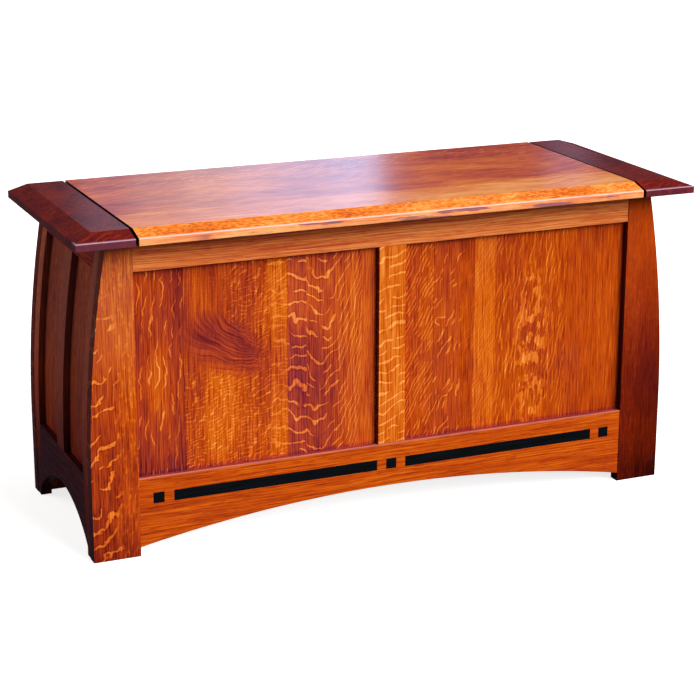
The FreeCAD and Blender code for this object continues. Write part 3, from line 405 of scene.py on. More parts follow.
def turned(oak, centre, lean):
    """Distances from a centre along a line that leans by some degrees, and away from it."""
    turn = math.radians(lean)
    right, up = oak.across - centre[0], oak.along - centre[1]
    run = right * math.cos(turn) + up * math.sin(turn)
    return run, up * math.cos(turn) - right * math.sin(turn)


def patch(oak, centre, reach, lean=0.0):
    """1 in the middle of an oval patch, falling to 0 at its rim."""
    run, step = turned(oak, centre, lean)
    first, second = run / reach[0], step / reach[1]
    return 1 - oak.rise(first * first + second * second, 0.0, 1.0)


def whorl(oak, centre, lean):
    """Fine bent lines that fan out across the grain, as round a knot, about 0."""
    run, step = turned(oak, centre, lean)
    drift = (oak.noise(WHORL_BENDS, WHORL_BENDS) - 0.5) * WHORL_STRAY
    lines = (step - run * run * WHORL_BOW + drift) * (run * WHORL_FAN + 1.0)
    return oak.clouds(oak.join(run * WHORL_RUNS, lines * WHORL_LINES, 0.0), detail=3.0) - 0.5


def arches(oak, lines, bend):
    """Broad growth lines, about this many to the metre, that bend into nested arches, about 0."""
    drift = (oak.noise(ARCH_BENDS, ARCH_BENDS, detail=1.0) - 0.5) * bend
    shift = oak.next_shift()
    place = oak.join(oak.across * lines + drift + shift[0], oak.along * ARCH_RUNS + shift[1], 0.0)
    return oak.clouds(place, detail=1.0) - 0.5


def pores(oak):
    """Short dark pore lines along the grain."""
    return oak.rise(oak.noise(*PORE_COUNTS, detail=1.0), *PORE_LEVELS)


def grain(oak, pitch=0.0021, reach=0.06):
    """Growth lines, `pitch` apart and `reach` long, over broader and longer bands, about 0."""
    bands = oak.noise(BANDS_ACROSS / pitch, BANDS_ALONG / reach, detail=1.0)
    lines = oak.noise(1 / pitch, 1 / reach, detail=1.0)
    return (bands - 0.5) * BAND_STRENGTH + (lines - 0.5) * LINE_STRENGTH


def arris_highlight(oak, place, half_width=0.0016):
    """A soft line along an edge, where place is 0, for a painted highlight."""
    return 1 - oak.rise(abs(place), 0.0, half_width)


def strips(oak, span, values):
    """Steps through (start, colour) values across a board; gives the three channels."""
    low, high = span
    stops = [((start - low) / (high - low), colour) for start, colour in values]
    colour = oak.ramp((oak.across - low) / (high - low), stops, "CONSTANT")
    return oak.parts("ShaderNodeSeparateColor", colour, ("Red", "Green", "Blue"))


# ------------ stained oak


# Tones of the stain's seven colours, from the darkest to the palest.
STAIN_TONES = (0.00, 0.18, 0.36, 0.52, 0.68, 0.84, 1.00)

# Stained oak under lacquer: its own roughness, that of its pores, its gloss, and the pores' depth.
OAK_ROUGHNESS, PORE_ROUGHNESS, OAK_GLOSS = 0.45, 0.16, 0.06
PORE_DEPTH, PORE_RELIEF = 0.25 * MILLIMETRE, 0.35

# Sizes in metres.
LID_BEVEL = 0.038  # depth of the bevel along the lid's front
EDGE_HEIGHT = 0.0132  # height of the edges under the bevels
CAP_FRONT = 0.03  # depth of the caps' front, which carries painted grey sheen and a painted highlight
LEDGE_HIGHLIGHT_REACH = 0.004  # how far the painted highlight along a ledge's edge reaches to either side
SEAM_HALF_WIDTH = 0.0007  # half the width of a glue line
GAP_LINE = 0.0005  # width of the painted shade line beside the gaps between the lid and the caps

# Bands in metres, in which a look comes in from none at the first place to all at the second.
# Painted grey sheen comes in over this band of height on the ends.
SHEEN_HEIGHTS = (0.05, 0.42)
LEG_OUTSIDE = (0.060, 0.042)
LEG_HEAD = (0.42, 0.50)
LEG_HEIGHTS = (0.15, 0.48)
LEG_FOOT = (0.10, 0.0)
# Painted grey sheen comes in over this band of height on a leg's head.
LEG_SHEEN = (0.25, 0.52)
# Painted shade on a leg's left side grows stronger over this band towards the floor.
LEG_SIDE_SHADE = (0.20, 0.05)
# Painted shade in a panel: along its sides, above its foot, a painted contact shadow just above the ledge,
# and under its top rail.
PANEL_RIM = (0.060, 0.024)
PANEL_FOOT = (0.200, 0.150)
PANEL_CORNER = (0.158, 0.150)
PANEL_HEAD = (0.500, 0.532)
LID_SUN_ALONG = (-0.15, 0.10)
LID_SUN_ACROSS = (-0.04, -0.16)
LID_BEVEL_BRIGHT = (-0.35, -0.05)
LID_BLOTS = (-0.42, -0.34)

# Clouds: about how many to the metre across and along a board, and for the blots through it.
PLAIN_CLOUDS, LEG_CLOUDS, PANEL_CLOUDS, CAP_CLOUDS = (7.0, 1.6), (9.0, 3.0), (9.0, 4.0), (18.0, 10.0)
LID_CLOUDS, LID_FINE_CLOUDS, LID_BLOT_CLOUDS = (12.0, 7.0), (40.0, 6.0), (45.0, 10.0, 110.0)

# Spots of ray: about how many to the metre across and along a board, and their cover.
LEG_SPOTS, LID_SPECKS, PANEL_SPOT_COVER = (170.0, 80.0, 0.45), (230.0, 110.0, 0.8), 0.75

# How often to the metre and how far the rim of a leg's flecks strays, and the levels of noise where
# the lid's blots begin and are full.
LEG_RIM_CLOUDS, LEG_RIM_STRAY = (14.0, 14.0), 0.05
BLOT_LEVELS = (0.53, 0.60)

# Growth lines: how long a plain board's are, how far apart and how long a leg's and a panel's are,
# and the lid's arches to the metre and their bend.
PLAIN_REACH, LEG_LINES, PANEL_LINES = 0.11, (0.0017, 0.055), (0.0017, 0.060)
LID_ARCHES = (58.0, 14.0)

# A quiet place in a panel: how far inside its right side and its low end it is full, and how far
# past its right side it reaches.
QUIET_FADE, QUIET_PAST = 0.03, 0.01

# How strong each part of a look is in the tone, then in the plum, then in what lies over both.
PLAIN = SimpleNamespace(pores=0.10, plum_clouds=0.8)
LEG = SimpleNamespace(
    clouds=0.30, lines=0.8, pores=0.10, spots=0.10, foot=0.12, flecked=0.05, calm_head=0.8,
    plum=0.05, plum_clouds=0.6, side_shade=0.68, side_shade_foot=0.25,
)
LID = SimpleNamespace(
    clouds=0.65, fine=0.18, lines=0.5, edge_lines=0.2, pores=0.06, edge=0.18, bevel=0.16,
    bevel_bright=0.05, sun=0.22, blots=0.30, specks=0.18, arches=0.34,
    blot_colour=0.75, edge_sheen=0.10, blot_cover=0.6, dull=0.5,
)
CAP = SimpleNamespace(level=0.35, clouds=1.6, lines=0.6, flecks=0.6, pores=0.1, edge=0.2, highlighted=0.8)
PANEL = SimpleNamespace(
    knot=0.15, rim=0.06, corner=0.14, pores=0.08, seam=0.12, whorl=1.1, calm=0.8,
    plum_knot=0.4, plum_corner=0.6, plum_clouds=1.2,
)

# A ledge's top face has painted shade, darker and more purple, and the painted highlight along its edge is
# this pale.
LEDGE_SHADE, LEDGE_PLUM, LEDGE_HIGHLIGHT = 0.16, 0.8, 0.24

# The lid's boards: how far behind its front each starts, tone, plum and strength of its flecks.
LID_BOARDS = ((0.0, 0.68, 0.7, 0.06), (0.14, 0.54, 0.8, 0.06), (0.25, 0.575, 0.7, 0.07),
              (0.35, 0.51, 0.8, 0.18))


def stain(oak, tone, plum):
    """The stain's colour for a tone between 0, the darkest, and 1, the palest, with some plum."""
    look = oak.look
    colours = (look.shadow, look.mahogany, look.russet, look.amber, look.orange, look.gold, look.straw)
    return oak.mix(plum, oak.ramp(tone, list(zip(STAIN_TONES, colours))), look.plum, "ADD")


def lacquered(oak, colour, pore, coat=None):
    """Wood under satin lacquer."""
    return oak.surface({
        "Base Color": colour,
        "Roughness": OAK_ROUGHNESS + pore * PORE_ROUGHNESS,
        "Specular IOR Level": OAK_GLOSS,
        "Coat Weight": oak.look.lacquer if coat is None else coat,
        "Coat Roughness": oak.look.lacquer_roughness,
        "Normal": oak.bump(1 - pore, PORE_DEPTH, PORE_RELIEF),
    })


def plain_oak(name, axes, shift, tone, plum=0.0, fleck=None, show=0.0, swing=0.5, lines=1.0,
              foot=None, ledge=False, shade=0.34, sheen=0.0, pitch=0.0019):
    """A stained board, with or without ray flecks.

    `show` is how strong its flecks are, `swing` its clouds and `lines` its growth lines, `foot` its
    tone at its low end and the height where that ends, a painted shade towards the bottom, `shade`
    how much painted shade darkens its left side, `sheen` how much painted grey sheen lies on its
    upper part, `pitch` the distance between its growth lines, and with `ledge` its top face has
    painted shade behind a painted highlight along its edge.
    """
    oak = Finish(name, axes, shift)
    height = oak.along
    if foot:
        foot_tone, foot_height = foot
        tone = oak.rise(height, 0.0, foot_height) * (tone - foot_tone) + foot_tone
    # Painted shade on the faces that look left.
    painted_shade = oak.facing("X", -1) * shade
    if ledge:
        # The ledge: a painted highlight along its front edge, and painted shade and purple on its top face.
        low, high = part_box(name)
        front = max(abs(low.y), abs(high.y))
        highlighted = arris_highlight(oak, oak.across - high.z, LEDGE_HIGHLIGHT_REACH) * arris_highlight(oak, abs(oak.through) - front, LEDGE_HIGHLIGHT_REACH)
        top = oak.facing("Z", 1)
        painted_shade = painted_shade + top * LEDGE_SHADE
        plum = top * LEDGE_PLUM + plum
    oak.wander(DRIFT)
    pore = pores(oak)
    clouds = oak.noise(*PLAIN_CLOUDS, detail=3.0) - 0.5
    value = tone + clouds * swing + grain(oak, pitch, PLAIN_REACH) * lines - pore * PLAIN.pores - painted_shade
    if fleck:
        value = value + ray_flecks(oak, *FLECKS[fleck]) * show
    colour = stain(oak, value, (plum - clouds * PLAIN.plum_clouds).clamped())
    if sheen:
        # Painted grey sheen over the upper part.
        colour = oak.mix(oak.rise(height, *SHEEN_HEIGHTS) * sheen, colour, oak.look.sheen)
    if ledge:
        colour = oak.mix(highlighted * LEDGE_HIGHLIGHT, colour, oak.look.arris_highlight)
    return lacquered(oak, colour, pore)


def leg_oak(name, shift, tone, foot, show, sheen, strength):
    """A leg: plain beside the panel, broad golden flecks outside, its left side darkened by painted shade.

    `foot` is its tone low down, `show` how strong the flecks are, `sheen` how much painted grey sheen
    lies on its head, and `strength` how strong the grain is.
    """
    low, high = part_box(name)
    oak = Finish(name, GRAIN_UP, shift)
    outer = max(abs(low.x), abs(high.x))
    side = oak.facing("X", -1)
    height = oak.along
    reach = outer - abs(oak.across) + (oak.noise(*LEG_RIM_CLOUDS) - 0.5) * LEG_RIM_STRAY
    flecked = oak.rise(reach, *LEG_OUTSIDE) * (1 - LEG.calm_head * oak.rise(height, *LEG_HEAD))
    drop = oak.rise(height, *LEG_FOOT)
    tone = oak.rise(height, *LEG_HEIGHTS) * (tone - foot) + foot - drop * LEG.foot - flecked * LEG.flecked
    oak.wander(DRIFT)
    pore = pores(oak)
    clouds = oak.noise(*LEG_CLOUDS, detail=3.0) - 0.5
    figure = clouds * LEG.clouds + grain(oak, *LEG_LINES) * LEG.lines - pore * LEG.pores
    value = tone + figure * strength
    value = value + ray_flecks(oak, *FLECKS["broad"]) * flecked * show
    value = value + spots(oak, *LEG_SPOTS) * (1 - flecked) * strength * LEG.spots
    colour = stain(oak, value, (LEG.plum - clouds * LEG.plum_clouds).clamped())
    # Painted grey sheen over the leg's head.
    colour = oak.mix(oak.rise(height, *LEG_SHEEN) * sheen, colour, oak.look.sheen)
    # Painted shade on the faces that look left, stronger near the floor.
    side_shade = side * (LEG.side_shade + LEG.side_shade_foot * oak.rise(height, *LEG_SIDE_SHADE))
    return lacquered(oak, oak.mix(side_shade, colour, oak.look.leg_side_shade), pore)


def lid_oak():
    """The lid: four wide boards, a speckled bevel along the front and a blotched front edge."""
    low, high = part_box("lid")
    oak = Finish("lid_oak", TOP_GRAIN_SIDEWAYS, LID_SHIFT)
    look = oak.look
    boards = [(low.y + start, looks) for start, *looks in LID_BOARDS]
    tone, plum, show = strips(oak, (low.y, high.y), boards)
    flat = oak.across > low.y + LID_BEVEL
    edge = oak.facing("Y", -1)
    above = 1 - oak.facing("Z", -1)
    bevel = (1 - flat) * (1 - edge) * above
    # A painted highlight along the edge under the bevel.
    highlighted = arris_highlight(oak, oak.through - (low.z + EDGE_HEIGHT)) * (1 - flat)
    sun = oak.rise(oak.along, *LID_SUN_ALONG) * oak.rise(oak.across, *LID_SUN_ACROSS) * flat * above
    oak.wander(LID_DRIFT)
    pore = pores(oak)
    clouds = oak.noise(*LID_CLOUDS, detail=5.0, roughness=0.6) - 0.5
    blots = oak.rise(oak.noise(*LID_BLOT_CLOUDS, detail=4.0), *BLOT_LEVELS) * edge
    blots = blots * oak.rise(oak.along, *LID_BLOTS)
    specks = spots(oak, *LID_SPECKS) * bevel
    fine = oak.noise(*LID_FINE_CLOUDS) - 0.5
    value = tone + clouds * LID.clouds + fine * LID.fine
    value = value + grain(oak) * (LID.lines + edge * LID.edge_lines) - pore * LID.pores
    bright = oak.rise(oak.along, *LID_BEVEL_BRIGHT) * LID.bevel_bright
    value = value + edge * LID.edge + bevel * (bright + LID.bevel)
    value = value + sun * LID.sun - blots * LID.blots - specks * LID.specks
    value = value + ray_flecks(oak, *FLECKS["lid"]) * show
    value = value + arches(oak, *LID_ARCHES) * flat * LID.arches
    colour = stain(oak, value, (plum * (1 - bevel) - clouds).clamped())
    colour = oak.mix(blots * LID.blot_colour, colour, look.blot)
    # Painted sheen over the front edge, then the painted highlight under the bevel.
    colour = oak.mix(edge * LID.edge_sheen, colour, look.arris_highlight)
    colour = oak.mix(highlighted * (1 - blots * LID.blot_cover), colour, look.arris_highlight)
    # Painted shade: a dark line on the lid's ends beside the gaps to the caps.
    gap_shade = (abs(oak.along) > high.x - GAP_LINE) * (1 - edge)
    colour = oak.mix(gap_shade, colour, look.shadow)
    return lacquered(oak, colour, pore, coat=(1 - (bevel + edge) * LID.dull) * look.lid_lacquer)


def cap_oak(name, shift, sheen):
    """A dark end cap, with a painted highlight along its front edge and painted grey sheen on its edges;
    `sheen` is how much sheen lies on its front edge.
    """
    low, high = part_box(name)
    oak = Finish(name, TOP_GRAIN_DEEP, shift)
    look = oak.look
    # Painted shade: a dark line on the cap's inner face beside the gap to the lid.
    gap_shade = abs(oak.across) < min(abs(low.x), abs(high.x)) + GAP_LINE
    edge = oak.through < low.z + EDGE_HEIGHT
    front = oak.rise(oak.along, low.y + CAP_FRONT, low.y)
    highlighted = arris_highlight(oak, oak.through - (low.z + EDGE_HEIGHT)) * front
    oak.wander(SHORT_DRIFT)
    pore = pores(oak)
    clouds = oak.noise(*CAP_CLOUDS, detail=3.0) - 0.5
    amount = clouds * CAP.clouds + grain(oak) * CAP.lines + CAP.level
    amount = amount + ray_flecks(oak, *FLECKS["cap"]) * CAP.flecks - pore * CAP.pores
    colour = oak.mix(amount.clamped(), look.cap, look.cap_fleck)
    # Painted grey sheen on the edges, then a painted highlight along the front edge.
    colour = oak.mix(edge * (front * sheen + CAP.edge), colour, look.cap_edge_sheen)
    colour = oak.mix(highlighted * CAP.highlighted, colour, look.cap_arris_highlight)
    colour = oak.mix(gap_shade, colour, look.shadow)
    return lacquered(oak, colour, pore, coat=look.cap_lacquer)


def strip_values(oak, span, table):
    """Tone, plum and swing of each strip of a glued-up panel, then its strengths of fleck."""
    looks = strips(oak, span, [(start, look) for start, look, _ in table])
    shows = []
    for numbers in ((0, 1, 2), (3, 4, 5)):
        rows = [(start, [flecks.get(number, 0.0) for number in numbers]) for start, _, flecks in table]
        shows += strips(oak, span, rows)
    return looks, shows


def panel_oak(name, shift, half, kinds, lines=1.0, knot=None, blots=None, quiet=None):
    """A glued-up panel: tones and ray flecks change from strip to strip.

    `half` is its span, its strips and its glue lines, `kinds` the kinds of its flecks, `lines` how
    strong its growth lines are, `knot` a whorl's (centre, reach, lean), `blots` a patch of ray's
    (centre, reach, spots to the metre, strength), and `quiet` the (left, right, low) of a place
    that has few flecks.
    """
    span, table, seams = half
    oak = Finish(name, GRAIN_UP, shift)
    (tone, plum, swing), shows = strip_values(oak, span, table)
    seam = sum(abs(oak.across - place) < SEAM_HALF_WIDTH for place in seams)
    bump = patch(oak, *knot) if knot else 0.0
    middle, half_width = (span[0] + span[1]) / 2, (span[1] - span[0]) / 2
    # Painted shade: rim along the sides, foot above the low end, corner a painted contact shadow just above
    # the ledge, head under the top rail.
    rim = oak.rise(half_width - abs(oak.across - middle), *PANEL_RIM)
    foot = oak.rise(oak.along, *PANEL_FOOT)
    corner = oak.rise(oak.along, *PANEL_CORNER)
    head = oak.rise(oak.along, *PANEL_HEAD)
    calm = 0.0
    if quiet:
        left, right, start = quiet
        calm = (oak.across > left) * oak.rise(oak.across, right + QUIET_PAST, right - QUIET_FADE)
        calm = calm * oak.rise(oak.along, start - QUIET_FADE, start + QUIET_FADE) * PANEL.calm
    tone = tone - bump * PANEL.knot - (rim + foot + head) * PANEL.rim - corner * PANEL.corner
    oak.wander(DRIFT)
    pore = pores(oak)
    clouds = oak.noise(*PANEL_CLOUDS, detail=3.0) - 0.5
    value = tone + clouds * swing + grain(oak, *PANEL_LINES) * (1 - bump) * lines
    value = value - pore * PANEL.pores - seam * PANEL.seam
    for show, kind in zip(shows, kinds):
        value = value + ray_flecks(oak, *FLECKS[kind]) * show * (1 - bump) * (1 - calm)
    if knot:
        centre, reach, lean = knot
        value = value + whorl(oak, centre, lean) * bump * PANEL.whorl
    if blots:
        centre, reach, size, strength = blots
        value = value + spots(oak, *size, PANEL_SPOT_COVER) * patch(oak, centre, reach) * strength
    # The painted contact shadow above the ledge is also more purple.
    purple = plum + bump * PANEL.plum_knot + corner * PANEL.plum_corner - clouds * PANEL.plum_clouds
    return lacquered(oak, stain(oak, value, purple.clamped()), pore)


# ------------ other finishes


# Sizes are in metres, and streaks, strokes and spots are counted to the metre. Levels are those
# where a look begins and is full.
EBONY = SimpleNamespace(streaks=(300.0, 12.0), levels=(0.35, 0.75), pale=1.8)
CEDAR = SimpleNamespace(
    board=0.09, lines=(0.008, 0.5), seam=(0.008, 0.016), levels=(0.35, 0.65), deep=(0.62, 0.46, 0.42),
    seam_shade=0.15, roughness=0.62, line_roughness=0.2, line_height=0.1,
    depth=0.4 * MILLIMETRE, relief=0.5,
)
RAW_OAK = SimpleNamespace(
    contrast=1.6, darker=0.3, pores=0.4, deep=0.5, roughness=0.6, pore_roughness=0.2,
    depth=0.3 * MILLIMETRE, relief=0.4,
)
METAL = SimpleNamespace(
    strokes=3000.0, spots=(90.0, 90.0), levels=(0.52, 0.75), tarnish=0.7, shade=0.45,
    roughness=0.24, stroke_roughness=0.16, tarnish_roughness=0.1,
    depth=0.05 * MILLIMETRE, relief=0.3,
)


def ebony(name):
    """Near-black wood with fine pores."""
    wood = Finish(name, GRAIN_SIDEWAYS, EBONY_SHIFT)
    grey = wood.noise(*EBONY.streaks)
    dark = wood.look.ebony
    colour = wood.mix(wood.rise(grey, *EBONY.levels), dark, scaled(dark, EBONY.pale))
    return lacquered(wood, colour, pores(wood), coat=0.0)


def cedar(name):
    """Unfinished floor boards, tongued together."""
    wood = Finish(name, TOP_GRAIN_SIDEWAYS, CEDAR_SHIFT)
    joint = (wood.across / CEDAR.board).zigzag()
    wood.wander(DRIFT)
    lines = grain(wood, *CEDAR.lines) + 0.5
    seam = wood.rise(joint, *CEDAR.seam)
    base = wood.look.cedar
    deep = tuple(channel * share for channel, share in zip(base, CEDAR.deep))
    colour = wood.mix(wood.rise(lines, *CEDAR.levels), deep, base)
    return wood.surface({
        "Base Color": wood.mix(1 - seam, colour, scaled(base, CEDAR.seam_shade)),
        "Roughness": CEDAR.roughness + lines * CEDAR.line_roughness,
        "Normal": wood.bump(seam + lines * CEDAR.line_height, CEDAR.depth, CEDAR.relief),
    })


def raw_oak(name, axes, shift):
    """Unfinished oak of the inner pieces."""
    wood = Finish(name, axes, shift)
    wood.wander(SHORT_DRIFT)
    lines = grain(wood) + 0.5
    pore = pores(wood)
    base = wood.look.raw_oak
    amount = (lines * RAW_OAK.contrast - RAW_OAK.darker - pore * RAW_OAK.pores).clamped()
    return wood.surface({
        "Base Color": wood.mix(amount, scaled(base, RAW_OAK.deep), base),
        "Roughness": RAW_OAK.roughness + pore * RAW_OAK.pore_roughness,
        "Normal": wood.bump(1 - pore, RAW_OAK.depth, RAW_OAK.relief),
    })


def metal(name, base, shift, strokes_along):
    """Metal with fine strokes, this many to the metre along them, and a little tarnish."""
    part = Finish(name, TOP_GRAIN_SIDEWAYS, shift)
    strokes = part.noise(METAL.strokes, strokes_along)
    tarnish = part.noise(*METAL.spots, detail=3.0)
    dull = part.rise(tarnish, *METAL.levels) * METAL.tarnish
    roughness = METAL.roughness + strokes * METAL.stroke_roughness + tarnish * METAL.tarnish_roughness
    return part.surface({
        "Base Color": part.mix(dull, base, scaled(base, METAL.shade)),
        "Metallic": 1.0,
        "Roughness": roughness,
        "Normal": part.bump(strokes, METAL.depth, METAL.relief),
    })


# ------------ what each piece gets


# Places in the noise: of the first leg and the first panel, and of single finishes.
LEG_SHIFT, PANEL_SHIFT = 10, 30
LID_SHIFT, EBONY_SHIFT, CEDAR_SHIFT, FLOOR_SHIFT = 1, 40, 50, 95

# Each end cap: its place in the noise, and how much painted grey sheen lies on its front edge.
CAPS = {"left_end_cap": (2, 0.5), "right_end_cap": (3, 0.2)}

# Each leg: tone, tone of its foot, strength of its flecks, painted grey sheen on its head, strength of its
# grain.
LEGS = {
    "front_left_leg": (0.54, 0.46, 0.34, 0.14, 1.0),
    "front_right_leg": (0.43, 0.16, 0.02, 0.0, 0.45),
    "rear_left_leg": (0.45, 0.40, 0.25, 0.10, 0.8),
    "rear_right_leg": (0.50, 0.42, 0.25, 0.10, 0.8),
}

# Plain boards of the front and the back, then of the ends: place in the noise, grain and looks.
FRAME_BOARDS = {
    "top_rail": (20, GRAIN_SIDEWAYS, dict(tone=0.735, plum=1.0, swing=0.30, pitch=0.0014)),
    "bottom_rail": (23, GRAIN_SIDEWAYS, dict(tone=0.50, swing=0.4, lines=0.75, ledge=True, pitch=0.0016)),
    "centre_stile": (26, GRAIN_UP, dict(tone=0.63, fleck="stile", show=0.22, swing=0.4)),
}
# The ends' stiles and panels darken towards the bottom as painted shade and carry painted grey sheen higher
# up; their bottom rails are dark for the same painted shade.
END_STILE = dict(tone=0.42, plum=0.1, foot=(0.04, 0.30), shade=0.0, sheen=0.32)
END_PANEL = dict(tone=0.35, plum=0.1, fleck="strokes", show=0.10, foot=(0.16, 0.30), shade=0.0, sheen=0.20)
END_BOARDS = {
    "front_stile": (60, GRAIN_UP_ON_END, END_STILE),
    "rear_stile": (61, GRAIN_UP_ON_END, END_STILE),
    "centre_stile": (62, GRAIN_UP_ON_END, dict(END_STILE, tone=0.36)),
    "front_panel": (64, GRAIN_UP_ON_END, END_PANEL),
    "rear_panel": (65, GRAIN_UP_ON_END, END_PANEL),
    "top_rail": (67, GRAIN_DEEP, dict(tone=0.36, plum=0.4, shade=0.0)),
    "bottom_rail": (68, GRAIN_DEEP, dict(tone=0.07, plum=0.2, shade=0.0)),
}

# Inner pieces that share a finish: its name, grain, place in the noise and the pieces.
INNER_OAK = (
    ("long_cleat_oak", GRAIN_SIDEWAYS, 80, ("front_bottom_cleat", "back_bottom_cleat")),
    ("end_cleat_oak", GRAIN_DEEP, 81,
     ("left_bottom_cleat", "right_bottom_cleat", "left_cap_ledger", "right_cap_ledger")),
    ("batten_oak", TOP_GRAIN_DEEP, 82, ("left_lid_batten", "right_lid_batten")),
)

# Metals: place in the noise, and strokes to the metre along them.
BRASS, STEEL = (90, 60.0), (91, 2000.0)

# Each strip: where it starts, its (tone, plum, swing), and how strongly the flecks of some of its
# panel's kinds show in it, by the kind's number.
LEFT_STRIPS = (
    (-0.520, (0.42, 0.28, 0.80), {0: 0.28}),
    (-0.403, (0.50, 0.12, 0.80), {1: 0.16, 2: 0.16}),
    (-0.237, (0.57, 0.12, 0.40), {1: 0.12, 3: 0.14}),
    (-0.204, (0.42, 0.70, 0.60), {3: 0.34}),
    (-0.168, (0.48, 0.45, 0.80), {4: 0.32}),
    (-0.132, (0.52, 0.34, 0.80), {4: 0.30}),
    (-0.112, (0.56, 0.24, 0.70), {4: 0.27}),
    (-0.092, (0.60, 0.15, 0.60), {4: 0.24}),
    (-0.058, (0.60, 0.15, 0.50), {4: 0.03}),
)
RIGHT_STRIPS = (
    (0.010, (0.49, 0.10, 0.50), {0: 0.20}),
    (0.089, (0.47, 0.20, 0.60), {2: 0.26}),
    (0.146, (0.46, 0.00, 0.50), {0: 0.02, 2: 0.06}),
    (0.173, (0.62, 0.00, 0.30), {0: 0.08}),
    (0.218, (0.48, 0.00, 0.50), {1: 0.10, 3: 0.16}),
    (0.371, (0.49, 0.00, 0.25), {}),
)

# Each half of the front or the back: its span, its strips and its glue lines.
LEFT_HALF = ((-0.52, 0.0), LEFT_STRIPS, (-0.403, -0.204))
RIGHT_HALF = ((0.0, 0.52), RIGHT_STRIPS, (0.089, 0.218))

# Each panel: its material's name, half, kinds of fleck and what it has of its own.
PANELS = {
    "front_left_panel": (
        "left_panel", LEFT_HALF, ("strokes", "combed", "curls", "dashes", "cups"),
        dict(lines=0.85, knot=((-0.324, 0.376), (0.105, 0.060), -34.0), quiet=(-0.403, -0.310, 0.33)),
    ),
    "front_right_panel": (
        "right_panel", RIGHT_HALF, ("slants", "strokes", "curls", "upright"),
        dict(lines=0.85, blots=((0.300, 0.295), (0.045, 0.225), (66.0, 36.0), 0.26)),
    ),
    "back_left_panel": (
        "left_back_panel", LEFT_HALF, ("slants", "strokes", "combed", "curls", "rising"), {},
    ),
    "back_right_panel": (
        "right_back_panel", RIGHT_HALF, ("rising", "slants", "combed"), {},
    ),
}


def dress(material, *names):
    """Gives CAD pieces their finish."""
    for name in names:
        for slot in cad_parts[name].material_slots:
            slot.material = material


def dress_boards(sides, boards, step):
    """Finishes the same plain boards on two sides, whose places in the noise lie `step` apart."""
    for number, side in enumerate(sides):
        for word, (shift, axes, looks) in boards.items():
            name = f"{side}_{word}"
            dress(plain_oak(name, axes, shift + number * step, **looks), name)


# ------------ stage


KEY_SOFTNESS = math.radians(45.0)
KEY_COLOUR = (1.0, 0.98, 0.95)
OVERHEAD_COLOUR, FILL_COLOUR = (1.0, 0.93, 0.86), (1.0, 0.90, 0.82)
ROOM_COLOUR = (0.90, 0.86, 1.0, 1.0)
FLOOR_GLOW, FLOOR_MOTTLE = 0.78, 0.97
CAMERA_REACH = 200.0

# The light above the lid and the one on the left end: place, target and size.
OVERHEAD = ((0.6, -0.6, 3.2), (0.0, 0.0, 0.6), (1.6, 1.6))
LEFT_FILL = ((-2.6, 1.9, 1.2), (-0.58, 0.0, 0.3), (2.2, 1.6))

# The window behind the chest: left edge, watts and colour of each pane, a pane's width and height,
# how far back and how high the window hangs, and the height that it faces.
PALE, HAZE, SKY = (0.80, 0.86, 0.96), (0.62, 0.74, 1.0), (0.43, 0.65, 1.0)
PANES = ((0.40, 0.34, SKY), (0.60, 0.56, PALE), (0.80, 0.84, PALE), (1.00, 1.20, HAZE),
         (1.20, 1.44, SKY), (1.40, 1.80, SKY), (2.32, 0.40, SKY))
PANE_SIZE = (0.20, 1.1)
WINDOW_BACK, WINDOW_UP, WINDOW_AIM = 3.4, 1.45, 0.6


def lay_floor(context, stage):
    """A plain pale floor under the feet."""
    half = stage.floor_size / 2
    mesh = bpy.data.meshes.new("floor")
    corners = [(-half, -half, 0), (half, -half, 0), (half, half, 0), (-half, half, 0)]
    mesh.from_pydata(corners, [], [(0, 1, 2, 3)])
    floor = bpy.data.objects.new("floor", mesh)
    context.scene.collection.objects.link(floor)
    pale = Finish("floor_pale", TOP_GRAIN_SIDEWAYS, FLOOR_SHIFT)
    base = stage.floor_colour
    mesh.materials.append(pale.surface({
        "Base Color": pale.mix(pale.noise(2.0, 2.0, detail=4.0), scaled(base, FLOOR_MOTTLE), base),
        "Roughness": 0.8, "Specular IOR Level": 0.1,
        "Emission Color": (1.0, 1.0, 1.0, 1.0), "Emission Strength": FLOOR_GLOW,
    }))
    floor.visible_diffuse = False
    floor.visible_glossy = False


def hang(context, name, kind, power, colour):
    """Adds a lamp to the scene."""
    data = bpy.data.lights.new(name, kind)
    data.energy = power
    data.color = colour
    lamp = bpy.data.objects.new(name, data)
    context.scene.collection.objects.link(lamp)
    return lamp


def area_light(context, name, place, target, size, power, colour):
    """A soft rectangular light that faces a point."""
    lamp = hang(context, name, "AREA", power, colour)
    lamp.data.shape = "RECTANGLE"
    lamp.data.size, lamp.data.size_y = size
    lamp.location = place
    aim = Vector([end - start for start, end in zip(place, target)])
    lamp.rotation_euler = aim.to_track_quat("-Z", "Y").to_euler()
    return lamp


def hang_lights(context, stage):
    """A soft front light, a window behind that the lid mirrors, two more lights and an even room."""
    key = hang(context, "key", "SUN", stage.key_strength, KEY_COLOUR)
    key.data.angle = KEY_SOFTNESS
    key.rotation_euler = (math.pi / 2 - stage.key_rise, 0.0, stage.key_side)
    for number, (start, power, colour) in enumerate(PANES):
        middle = start + PANE_SIZE[0] / 2
        area_light(context, f"window_{number}", (middle, WINDOW_BACK, WINDOW_UP),
                   (middle, 0.0, WINDOW_AIM), PANE_SIZE, power, colour)
    area_light(context, "overhead", *OVERHEAD, stage.overhead, OVERHEAD_COLOUR)
    fill = area_light(context, "left_fill", *LEFT_FILL, stage.left_fill, FILL_COLOUR)
    for lamp in (key, fill):
        lamp.visible_glossy = False
    world = bpy.data.worlds.new("room")
    context.scene.world = world
    world.use_nodes = True
    background = world.node_tree.nodes["Background"]
    background.inputs["Color"].default_value = ROOM_COLOUR
    background.inputs["Strength"].default_value = stage.room


